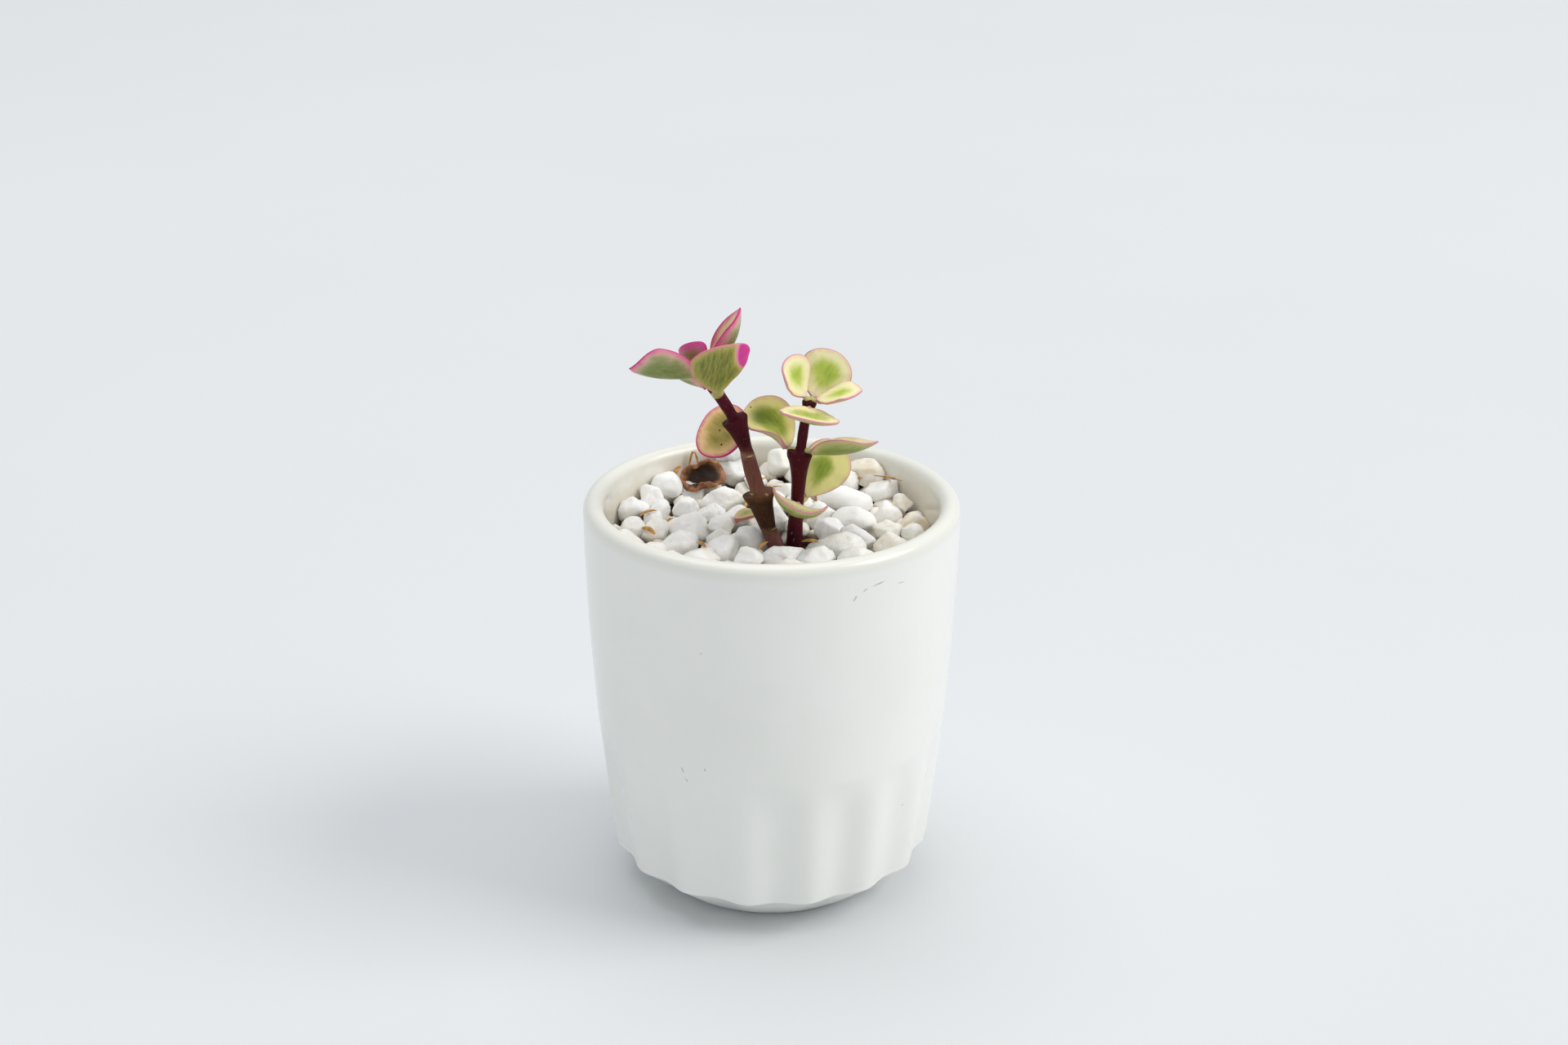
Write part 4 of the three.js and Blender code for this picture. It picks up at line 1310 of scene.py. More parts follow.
    def tree(self) -> bpy.types.NodeTree:
        """The tree that puts a worn pebble on every point.

        Returns:
            The Geometry Nodes tree.
        """
        inputs = {
            "Points": ("NodeSocketGeometry", None),
            "Ball Steps": ("NodeSocketInt", 3),
            "Wear": ("NodeSocketFloat", 0.16),
            "Dent Depth": ("NodeSocketFloat", 0.1),
            "Room Radius": ("NodeSocketFloat", 1.0),
            "Seed": ("NodeSocketInt", 1),
            "Finish": ("NodeSocketMaterial", None),
        }
        outputs = {"Geometry": "NodeSocketGeometry"}
        wiring = new_group("worn_pebbles", "GeometryNodeTree", inputs, outputs)
        given = wiring.add("NodeGroupInput").outputs
        spot = wiring.out("GeometryNodeInputPosition", 0)
        marked = wiring.out(
            "GeometryNodeStoreNamedAttribute",
            "Geometry",
            {"Geometry": given["Points"], "Name": "centre", "Value": spot},
            data_type="FLOAT_VECTOR",
            domain="POINT",
        )
        ball_steps = {"Radius": 1.0, "Subdivisions": given["Ball Steps"]}
        ball = wiring.out("GeometryNodeMeshIcoSphere", "Mesh", ball_steps)
        copies = wiring.out("GeometryNodeInstanceOnPoints", 0, {"Points": marked, "Instance": ball})
        real = wiring.out("GeometryNodeRealizeInstances", 0, {"Geometry": copies})

        def value(name: str, kind: str):
            """A value that the stones' points carry."""
            node = "GeometryNodeInputNamedAttribute"
            return wiring.out(node, "Attribute", {"Name": name}, data_type=kind)

        centre = value("centre", "FLOAT_VECTOR")
        size = value("size", "FLOAT_VECTOR")
        stone = value("stone", "INT")
        turn = value("turn", "FLOAT")
        position = wiring.out("GeometryNodeInputPosition", 0)
        way = wiring.vectors("SUBTRACT", position, centre)
        reach = 1.0
        for facet in range(self.facets):
            seed = wiring.plus(given["Seed"], facet)
            draw = {"Min": (-1, -1, -1), "Max": (1, 1, 1), "ID": stone, "Seed": seed}
            facing = wiring.out("FunctionNodeRandomValue", "Value", draw, data_type="FLOAT_VECTOR")
            facing = wiring.vectors("NORMALIZE", facing)
            nearest, farthest = self.facet_reach
            draw = {"Min": nearest, "Max": farthest, "ID": stone, "Seed": wiring.plus(seed, 100)}
            cut = wiring.out("FunctionNodeRandomValue", "Value", draw, data_type="FLOAT")
            toward = wiring.math("MAXIMUM", wiring.measure("DOT_PRODUCT", way, facing), 0.3)
            plane = wiring.math("DIVIDE", cut, toward)
            reach = wiring.math("SMOOTH_MIN", reach, plane, given["Wear"])
        reach = wiring.times(reach, self.ball_size)
        local = wiring.scaled(wiring.vectors("MULTIPLY", way, size), reach)
        turned = wiring.out(
            "ShaderNodeVectorRotate", 0, {"Vector": local, "Angle": turn}, rotation_type="Z_AXIS"
        )
        placed = wiring.vectors("ADD", turned, centre)
        dent = wiring.noise(wiring.scaled(placed, 1 / MM), 0.55, 4, 0.6)
        dent = wiring.times(wiring.minus(dent, 0.5), given["Dent Depth"])
        placed = wiring.vectors("ADD", placed, wiring.scaled(way, dent))
        flat = wiring.measure("LENGTH", wiring.vectors("MULTIPLY", placed, (1, 1, 0)))
        fit = wiring.math("DIVIDE", given["Room Radius"], wiring.math("MAXIMUM", flat, MM))
        fit = wiring.math("MINIMUM", fit, 1.0)
        placed = wiring.vectors("MULTIPLY", placed, wiring.joined(fit, fit, 1.0))
        shaped = wiring.out("GeometryNodeSetPosition", 0, {"Geometry": real, "Position": placed})
        return wiring.deliver(shaped, given["Finish"])

    def clear_of_stems(self, stone: tuple) -> bool:
        """Whether a stone that the rule placed leaves the stems free."""
        centre, size = stone[0], stone[1]
        for line in self.keep_clear:
            near = np.abs(line[:, 2] - centre[2]) < size[2] / 2
            apart = np.linalg.norm(line[near, :2] - centre[:2], axis=1)
            if np.any(apart < self.stem_closeness * size[0] + line[near, 3]):
                return False
        return True

    def heap_of(self, name: str, stones: list[tuple], steps: int, seed: int) -> bpy.types.Object:
        """Makes one piece of a list of stones.

        Args:
            name: The piece's name.
            stones: The stones.
            steps: How finely each is divided.
            seed: The seed of their facets.

        Returns:
            The piece.
        """
        centres, sizes, turns, casts = zip(*stones)
        points = Shell()
        points.scatter(centres, size=np.array(sizes) * MM, turn=np.radians(turns), cast=casts)
        piece = points.piece(name)
        numbers = piece.data.attributes.new("stone", "INT", "POINT")
        numbers.data.foreach_set("value", list(range(len(stones))))
        return grown(
            piece,
            self.tree(),
            ball_steps=steps,
            wear=self.wear,
            dent_depth=self.dent_depth * MM,
            room_radius=self.bed.radius(self.bed.top + self.room_above) * MM,
            seed=seed,
            finish=self.finish.material(),
        )

    def build(self) -> None:
        """Builds the gravel in three pieces, from the stones that show to the buried ones."""
        stones = self.stones()
        shown = stones[: len(self.shown)]
        rest = [stone for stone in stones[len(self.shown) :] if self.clear_of_stems(stone)]
        buried = [stone for stone in self.under_stones() if self.clear_of_stems(stone)]
        hand_over(self.heap_of("marble_gravel_shown", shown, 4, 11), "marble_gravel", "gravel")
        hand_over(self.heap_of("marble_gravel_fill", rest, 4, 301), "marble_gravel")
        hand_over(self.heap_of("marble_gravel_buried", buried, 3, 601), "marble_gravel")


def random_share(x: float, y: float) -> float:
    """A share from 0 to 1 that depends only on a place."""
    value = math.sin(x * 12.9898 + y * 78.233) * 43758.5453
    return value - math.floor(value)


# ---------------------------------------------------------------------------
# Stems
# ---------------------------------------------------------------------------


@dataclass
class Collar:
    """A node of the stem where a pair of leaves sat: its height, its pair's direction and flare."""

    height: float
    facing: float
    flare: float
    depth: float = 1.6


@dataclass
class Stem:
    """A cutting's stem: internodes that flare to a collar, with scars where leaves fell."""

    name: str
    stations: tuple[Station, ...]
    collars: tuple[Collar, ...]
    finish: Finish
    sides: int = 40
    steps: int = 9

    def line(self) -> np.ndarray:
        """The smooth centre line with its radii."""
        return rounded_line(self.stations, self.steps)

    def swell(self, row: np.ndarray, angles: np.ndarray) -> np.ndarray:
        """What the radius is multiplied by round a ring: shoulders at the collars, fine ribs.

        Args:
            row: The ring's station.
            angles: The angles round it.

        Returns:
            A factor for each angle.
        """
        factor = np.ones(len(angles))
        for collar in self.collars:
            below = (collar.height - row[2]) / collar.depth
            near = math.exp(-below * below) if below > 0 else math.exp(-9 * below * below)
            facing = np.cos(angles - math.radians(collar.facing)) ** 2
            factor += collar.flare * near * (facing - 0.35)
        ribs = 0.012 * np.sin(5 * angles + 0.9 * row[2]) + 0.008 * np.sin(9 * angles - 0.5 * row[2])
        return factor + ribs

    def build(self) -> None:
        """Builds the stem."""
        shell = Shell()
        shell.skin(tube_rings(self.line(), self.sides, self.swell))
        hand_over(shell.piece(f"{self.name}_bark", self.finish), "stem_bark", self.name)


TALL_BARK = Bark(
    "maroon_and_brown_bark",
    bands=(
        (74.0, tone(112, 72, 66)),
        (80.6, tone(128, 84, 78)),
        (82.0, tone(116, 82, 60)),
        (82.7, tone(66, 40, 22)),
        (88.6, tone(72, 44, 24)),
        (89.8, tone(110, 76, 48)),
        (90.7, tone(132, 86, 68)),
        (92.0, tone(126, 80, 68)),
        (97.6, tone(118, 70, 60)),
        (98.8, tone(146, 108, 84)),
        (99.5, tone(100, 50, 44)),
        (101.0, tone(70, 0, 18)),
        (102.4, tone(64, 0, 16)),
        (110.0, tone(80, 4, 28)),
        (116.0, tone(112, 24, 50)),
    ),
    marks=(
        Mark(-4.6, 98.6, 0.9, 0.22, 8, tone(206, 176, 124), 0.9, 0.3),
        Mark(-4.6, 98.2, 0.9, 0.14, 8, tone(60, 34, 24), 0.8, 0.2),
        Mark(-4.2, 90.1, 0.5, 0.25, 10, tone(206, 180, 140), 0.8, 0.4),
        Mark(-1.0, 90.4, 0.5, 0.25, -20, tone(200, 172, 130), 0.8, 0.4),
        Mark(0.6, 82.3, 0.8, 0.28, 10, tone(170, 140, 96), 0.9, 0.3),
        Mark(0.6, 81.9, 0.8, 0.14, 10, tone(36, 20, 12), 0.9, 0.2),
    ),
)

SHORT_BARK = Bark(
    "dark_maroon_bark",
    bands=(
        (74.0, tone(38, 8, 12)),
        (79.0, tone(66, 14, 26)),
        (84.0, tone(88, 18, 34)),
        (96.0, tone(78, 6, 24)),
        (100.0, tone(74, 4, 24)),
        (108.0, tone(80, 10, 30)),
        (111.0, tone(70, 14, 26)),
    ),
    marks=(
        Mark(4.2, 80.6, 0.5, 0.22, 60, tone(176, 140, 136), 0.6),
        Mark(4.7, 79.2, 0.6, 0.16, 70, tone(176, 140, 136), 0.6),
    ),
    gloss=0.36,
)

TALL_STATIONS: tuple[Station, ...] = (
    (1.0, -6.2, 57, 1.4),
    (1.4, -5.2, 66, 1.7),
    (1.6, -4.0, 74, 1.75),
    (1.0, -3.6, 77.5, 1.75),
    (-0.4, -3.6, 81.4, 1.65),
    (-0.8, -3.6, 82.4, 1.7),
    (-2.0, -3.6, 86.6, 2.35),
    (-2.7, -3.6, 89.6, 2.9),
    (-2.8, -3.6, 90.1, 2.7),
    (-2.9, -3.6, 90.4, 1.75),
    (-4.1, -3.6, 94.6, 1.65),
    (-5.1, -3.6, 98.4, 1.5),
    (-5.5, -3.6, 99.9, 1.35),
    (-6.5, -3.6, 102.9, 1.85),
    (-7.7, -3.6, 106.0, 2.35),
    (-7.9, -3.6, 106.5, 2.2),
    (-8.1, -3.6, 106.8, 1.3),
    (-9.6, -3.6, 109.4, 1.25),
    (-11.2, -3.6, 111.9, 1.3),
    (-12.2, -3.6, 113.8, 1.6),
    (-12.8, -3.6, 115.6, 1.3),
)

SHORT_STATIONS: tuple[Station, ...] = (
    (6.0, 0.2, 57, 1.4),
    (5.4, -0.6, 67, 1.8),
    (4.9, -1.4, 76, 1.85),
    (4.9, -1.5, 79.5, 1.7),
    (5.1, -1.5, 83.5, 1.55),
    (5.3, -1.5, 86.0, 1.45),
    (5.4, -1.5, 87.2, 1.4),
    (5.6, -1.5, 91.0, 1.5),
    (5.7, -1.5, 94.0, 1.75),
    (5.8, -1.5, 96.6, 2.2),
    (5.8, -1.5, 98.0, 2.35),
    (5.9, -1.5, 98.5, 2.1),
    (6.0, -1.5, 98.9, 1.2),
    (6.4, -1.5, 102.0, 1.1),
    (7.0, -1.5, 106.0, 1.05),
    (7.5, -1.5, 108.2, 1.25),
    (7.8, -1.5, 109.6, 1.4),
    (7.9, -1.5, 110.2, 0.9),
)


def both_stems() -> tuple[Stem, Stem]:
    """The tall stem and the short one."""
    tall = Stem(
        "tall_stem",
        TALL_STATIONS,
        (Collar(90.0, 0, 0.3), Collar(106.4, 0, 0.3), Collar(82.0, 90, 0.08, 0.8)),
        TALL_BARK,
    )
    short = Stem(
        "short_stem",
        SHORT_STATIONS,
        (Collar(98.2, 0, 0.25), Collar(87.2, 90, 0.1), Collar(109.4, 0, 0.15, 1.0)),
        SHORT_BARK,
    )
    return tall, short


# ---------------------------------------------------------------------------
# Leaves
# ---------------------------------------------------------------------------

SHORT_SKIN = LeafSkin("cream_edged_leaf")
FALLEN_SKIN = LeafSkin(
    "olive_fallen_leaf",
    heart=tone(150, 148, 84),
    deep=tone(104, 112, 50),
    border=tone(206, 186, 124),
    edge=tone(196, 112, 112),
    border_width=0.9,
)
SHORT_TOP_SKIN = LeafSkin(
    "young_cream_edged_leaf",
    heart=tone(196, 214, 92),
    deep=tone(142, 172, 44),
    border=tone(255, 244, 200),
    border_width=2.2,
)
MIDDLE_LEFT_SKIN = LeafSkin(
    "dark_hearted_leaf",
    heart=tone(182, 196, 66),
    deep=tone(92, 116, 2),
    border=tone(252, 236, 160),
    border_width=2.3,
    spots=(
        Spot(8.6, 1.4, 1, 3.8, 0.95, tone(112, 130, 8)),
        Spot(11.5, 1.2, 1, 0.22),
    ),
)
LOW_BACK_SKIN = LeafSkin(
    "yellow_edged_leaf",
    heart=tone(170, 192, 56),
    deep=tone(100, 134, 12),
    border=tone(255, 244, 168),
    border_width=2.2,
    lean=(-0.1, 0.25),
)
TALL_SKIN = LeafSkin(
    "magenta_edged_leaf",
    heart=tone(150, 160, 84),
    deep=tone(110, 124, 50),
    border=tone(240, 214, 170),
    edge=tone(200, 30, 130),
    back=tone(140, 152, 88),
    back_deep=tone(92, 110, 46),
    back_border=tone(232, 186, 180),
    blush=tone(226, 90, 156),
    blush_width=1.3,
    blush_share=0.8,
    back_border_width=1.3,
    edge_width=0.25,
)
BUD_SKIN = LeafSkin(
    "magenta_bud_leaf",
    heart=tone(140, 130, 66),
    deep=tone(110, 104, 44),
    border=tone(226, 80, 160),
    edge=tone(206, 30, 140),
    back=tone(150, 126, 92),
    back_deep=tone(120, 108, 56),
    back_border=tone(222, 70, 160),
    border_width=0.9,
    back_border_width=1.3,
    blush=tone(222, 60, 160),
    blush_width=1.4,
    blush_share=0.8,
)
TALL_FRONT_SKIN = LeafSkin(
    "olive_backed_leaf",
    heart=tone(200, 90, 140),
    deep=tone(150, 110, 70),
    border=tone(222, 60, 160),
    edge=tone(206, 128, 130),
    back=tone(160, 158, 68),
    back_deep=tone(66, 80, 0),
    back_border=tone(196, 182, 110),
    blush=tone(220, 140, 150),
    blush_width=0.9,
    blush_share=0.5,
    back_border_width=0.1,
    edge_width=0.12,
    streakiness=1.8,
    spots=(
        Spot(11.6, 8.4, 0, 8.0, 0.16, tone(214, 186, 110)),
        Spot(11.8, 8.6, 0, 7.4, 0.1, tone(236, 150, 190)),
        Spot(11.2, 8.8, 0, 7.1, 0.12, tone(218, 44, 156)),
    ),
)
TALL_BACK_SKIN = LeafSkin(
    "spotted_leaf",
    heart=tone(192, 166, 88),
    deep=tone(132, 126, 44),
    border=tone(255, 212, 158),
    edge=tone(200, 30, 120),
    border_width=1.7,
    blush=tone(224, 110, 140),
    blush_width=1.2,
    blush_share=0.75,
    edge_width=0.25,
    spots=(
        Spot(4.6, -0.4, 1, 0.3, 0.3),
        Spot(5.2, 1.2, 1, 0.24, 0.3),
        Spot(6.0, -2.6, 1, 0.2, 0.3),
        Spot(3.0, 3.6, 1, 0.26, 0.3),
        Spot(2.4, -3.4, 1, 0.2, 0.3),
    ),
)


@dataclass
class Leaf:
    """A thin cupped blade on a short stalk, with a rounded rim.

    base and tip are the ends of the midrib. roll turns the blade about it from face-up, in
    degrees, and twist is how much more it has turned at the tip. width and cup are (left, right),
    seen on the upper face with the tip up: mm from the midrib, and degrees turned by the margin.
    bow lifts the midrib's middle towards the upper face and sway moves it left. fold is (left,
    right) degrees that the cup is deeper at the base. widest is a share of the length. foot and
    point say how the outline narrows: under 1 round, over 1 hollow.
    """

    name: str
    base: Point
    tip: Point
    roll: float
    width: tuple[float, float]
    cup: tuple[float, float]
    finish: Finish = SHORT_SKIN
    twist: float = 0.0
    bow: float = 0.0
    sway: float = 0.0
    fold: tuple[float, float] = (0.0, 0.0)
    widest: float = 0.6
    foot: float = 0.7
    point: float = 0.55
    wave: float = 0.12
    slot: str = "variegated_leaf"
    centre: float = 0.55
    rim_thickness: float = 0.38
    middle_thickness: float = 1.5
    keel: float = 0.18
    keel_width: float = 0.7
    stalk_thickness: float = 1.0
    stalk_radius: float = 0.6
    around: int = 96

    def outline_share(self, u: np.ndarray) -> np.ndarray:
        """The half width at a share of the length, 0 at both ends and 1 at the widest place."""
        near_base = u < self.widest
        share = np.where(near_base, u / self.widest, (1 - u) / (1 - self.widest))
        rise = np.clip(1 - (1 - share) ** 2, 0, 1)
        return rise ** np.where(near_base, self.foot, self.point)

    def length(self) -> float:
        """The midrib's length."""
        return float(np.linalg.norm(np.array(self.tip) - np.array(self.base)))

    def direction(self) -> np.ndarray:
        """The midrib's direction."""
        return (np.array(self.tip) - np.array(self.base)) / self.length()

    def surface(self, u: np.ndarray, across: np.ndarray) -> np.ndarray:
        """The blade's middle surface.

        Args:
            u: Shares of the length.
            across: Millimetres from the midrib, positive to the left.

        Returns:
            The points.
        """
        along = self.direction()
        face = np.array([0, 0, 1.0]) - along * along[2]
        face /= np.linalg.norm(face)
        turned = np.radians(self.roll + self.twist * (u - 0.5))
        up = np.outer(np.cos(turned), face) + np.outer(np.sin(turned), np.cross(along, face))
        left = np.cross(up, along)
        deeper = np.where(across > 0, *self.fold) * np.maximum(0, 1 - u / 0.6)
        cup = np.radians(np.where(across > 0, *self.cup) + deeper)
        radius = np.where(across > 0, *self.width) / cup
        turn = across / radius
        arch = 4 * u * (1 - u)
        lift = self.bow * arch + radius * (1 - np.cos(turn))
        aside = self.sway * arch + radius * np.sin(turn)
        midrib = np.array(self.base) + np.outer(u * self.length(), along)
        return midrib + up * lift[:, None] + left * aside[:, None]

    def rim(self) -> tuple[np.ndarray, np.ndarray]:
        """The outline as shares of the length and millimetres across."""
        turn = 2 * np.pi * np.arange(self.around) / self.around
        u = 0.5 + 0.5 * np.cos(turn)
        width = np.where(np.sin(turn) > 0, *self.width)
        return u, np.sign(np.sin(turn)) * width * self.outline_share(u)

    def margin_distance(self, u: np.ndarray, across: np.ndarray) -> np.ndarray:
        """How far points of the flattened blade lie from its edge, in millimetres."""
        rim_u, rim_across = self.rim()
        start = np.stack([rim_u * self.length(), rim_across], 1)
        run = np.roll(start, -1, 0) - start
        points = np.stack([u * self.length(), across], 1)[:, None]
        span = np.maximum((run * run).sum(1), 1e-9)
        share = np.clip(((points - start) * run).sum(2) / span, 0, 1)
        return np.linalg.norm(points - start - share[..., None] * run, axis=2).min(1)

    def rings(self) -> tuple[list[np.ndarray], list[np.ndarray], list[np.ndarray]]:
        """The blade's rings, under face first, with the values that its finish reads."""
        rim_u, rim_across = self.rim()
        step = 0.02
        half_rim = self.rim_thickness / 2
        phases = np.random.default_rng(len(self.name) + int(self.length() * 10)).uniform(0, 6, 3)
        turn = 2 * np.pi * np.arange(self.around) / self.around
        rings, blades, margins = [], [], []

        def level(share: float, lift: float, inset: float, face: float) -> None:
            """Adds one ring at a share of the way to the rim, lifted off the middle surface."""
            u = self.centre + (rim_u - self.centre) * share
            across = rim_across * share
            if share == 0:
                u, across = u[:1], across[:1]
            ahead = self.surface(u + step, across) - self.surface(u - step, across)
            aside = self.surface(u, across + step) - self.surface(u, across - step)
            normal = np.cross(ahead, aside)
            normal /= np.linalg.norm(normal, axis=1)[:, None]
            stalk = self.stalk_thickness * np.maximum(0, 1 - 4 * u) ** 2
            body = mix(self.middle_thickness, self.rim_thickness, share * share) + stalk
            keel = self.keel * np.exp(-((across / self.keel_width) ** 2)) * (1 - u)
            thick = body / 2 + (keel if face < 0.5 else -keel)
            point = self.surface(u, across)
            if share > 0:
                ripple = np.sin(3 * turn + phases[0]) + 0.6 * np.sin(7 * turn + phases[1])
                ripple += 0.4 * np.sin(13 * turn + phases[2])
                ends = np.clip(4 * u * (1 - u), 0, 1)
                point = point + normal * (self.wave * ripple * share**3 * ends)[:, None]
                middle = self.surface(np.full_like(u, self.centre), np.zeros_like(u))
                outward = point - middle
                outward -= normal * (outward * normal).sum(1)[:, None]
                outward /= np.linalg.norm(outward, axis=1)[:, None]
                point = point + outward * inset
            rings.append(point + normal * (lift * thick)[:, None])
            blades.append(np.stack([u * self.length(), across, np.full_like(u, face)], 1))
            margins.append(self.margin_distance(u, across))

        shares = (0.12, 0.24, 0.36, 0.48, 0.6, 0.71, 0.8, 0.87, 0.92, 0.96)
        level(0, -1, 0, 0)
        for share in shares:
            level(share, -1, 0, 0)
        for turn_out in (-70, -35, 0, 35, 70):
            tilt = math.radians(turn_out)
            inset = half_rim * (math.cos(tilt) - 1)
            level(1.0, math.sin(tilt), inset, 0.5 + 0.5 * math.sin(tilt))
        for share in reversed(shares):
            level(share, 1, 0, 1)
        level(0, 1, 0, 1)
        return rings, blades, margins

    def stalk(self, shell: Shell, stem: np.ndarray) -> None:
        """Adds the short stalk from the blade's foot into the stem.

        Args:
            shell: The leaf's shell.
            stem: The stem's smooth line.
        """
        base = np.array(self.base, float)
        apart = np.linalg.norm(stem[:, :3] - (base - self.direction() * 0.8), axis=1)
        seat = stem[int(np.argmin(apart))]
        start = self.surface(np.array([0.08]), np.zeros(1))[0]
        end = seat[:3] + (base - seat[:3]) * (0.4 * seat[3] / np.linalg.norm(base - seat[:3]))
        size = self.stalk_radius
        inside = self.surface(np.array([0.2]), np.zeros(1))[0]
        stations = [(*inside, 0.3 * size), (*start, 0.55 * size), (*base, 0.85 * size)]
        stations += [(*((base + end) / 2), size), (*end, 1.25 * size)]
        rings = tube_rings(rounded_line(stations, 5), 20)
        flat = [np.zeros((len(ring), 3)) for ring in rings]
        shell.skin(rings, blade=flat, margin=[np.full(len(ring), 0.8) for ring in rings])

    def build(self, stem: np.ndarray | None = None) -> None:
        """Builds the leaf.

        Args:
            stem: The smooth line of the stem that it grows on, unless it lies loose.
        """
        rings, blades, margins = self.rings()
        shell = Shell()
        shell.skin(rings, blade=blades, margin=margins)
        if stem is not None:
            self.stalk(shell, stem)
        hand_over(shell.piece(f"{self.name}_blade", self.finish), self.slot, self.name)


def short_leaves() -> list[Leaf]:
    """The leaves of the short stem, from its top down."""
    return [
        Leaf("short_leaf_top_left", (6.9, -2.2, 110.6), (2.8, -3.6, 119.5), -60, (4.5, 5), (50, 20),
             SHORT_TOP_SKIN, bow=-0.5, foot=1.1),
        Leaf("short_leaf_top_back", (8.3, 0.2, 110), (14, 2.5, 118.9), 65, (6, 5.2), (15, 20),
             SHORT_TOP_SKIN, bow=-0.5),
        Leaf("short_leaf_top_right", (9.1, -2, 110), (18.6, -5, 113.2), 16, (3.8, 4.2), (25, 30),
             SHORT_TOP_SKIN, foot=0.9, point=0.9),
        Leaf("short_leaf_upper_front", (7.7, -3.4, 108.5), (9.1, -13.5, 109.2), -14, (5.6, 7.2),
             (20, 6), SHORT_SKIN, bow=-0.8, foot=0.4, point=0.36),
        Leaf("short_leaf_middle_left", (3.4, -0.9, 99.2), (-4.4, 3.4, 108), -40, (6.3, 5),
             (60, 20), MIDDLE_LEFT_SKIN, twist=-60, sway=-0.8, fold=(110, 0), foot=0.5),
        Leaf("short_leaf_middle_right", (8.3, -2, 98.8), (22.1, -6, 102.5), -12, (4.8, 5),
             (70, 75), SHORT_SKIN, bow=-0.9, widest=0.38, foot=0.6, point=0.9),
        Leaf("short_leaf_low_back", (7.3, 1.4, 87), (12.8, 4.3, 99.2), 75, (5, 6.5), (30, 20),
             LOW_BACK_SKIN, foot=0.95),
        Leaf("short_leaf_low_front", (5.5, -3.4, 87.3), (5.2, -13, 90), -25, (7.6, 7), (75, 45),
             SHORT_SKIN, bow=-1.3),
    ]


def tall_leaves() -> list[Leaf]:
    """The leaves of the tall stem."""
    return [
        Leaf("tall_leaf_left", (-14.4, -4.4, 116.4), (-29.3, -6, 118), 45, (6, 5.7), (70, 80),
             TALL_SKIN, bow=-0.6, point=1.1),
        Leaf("tall_leaf_peak", (-13.2, -3, 116.8), (-6.6, -4.5, 130.6), 8, (5.4, 4.8), (100, 75),
             TALL_SKIN, bow=-1.5, widest=0.44, point=0.8),
        Leaf("tall_leaf_front", (-11.3, -6.1, 112.8), (-8.4, -11, 124.8), 0, (6.1, 7.8), (20, 15),
             TALL_FRONT_SKIN, widest=0.66, foot=1, point=0.45, stalk_radius=1.1),
        Leaf("tall_leaf_bud", (-15, -2.6, 117), (-18.4, -1.8, 121.8), 60, (4.8, 4.8),
             (35, 35), BUD_SKIN),
        Leaf("tall_leaf_low_left", (-13.5, -1.9, 112.8), (-20.8, 2.6, 114.2), 42, (3, 2.6),
             (40, 40), TALL_SKIN),
        Leaf("tall_leaf_back", (-6.1, -0.2, 100.4), (-14, 3.8, 104.6), -50, (7.8, 5.4), (25, 10),
             TALL_BACK_SKIN, widest=0.5, foot=0.38),
    ]


# ---------------------------------------------------------------------------
# What lies on the gravel
# ---------------------------------------------------------------------------


@dataclass
class Straw:
    """A bit of straw or husk from one point to another, its middle lifted by arch."""

    name: str
    start: Point
    end: Point
    arch: float
    radius: float
    stands_for: bool = True


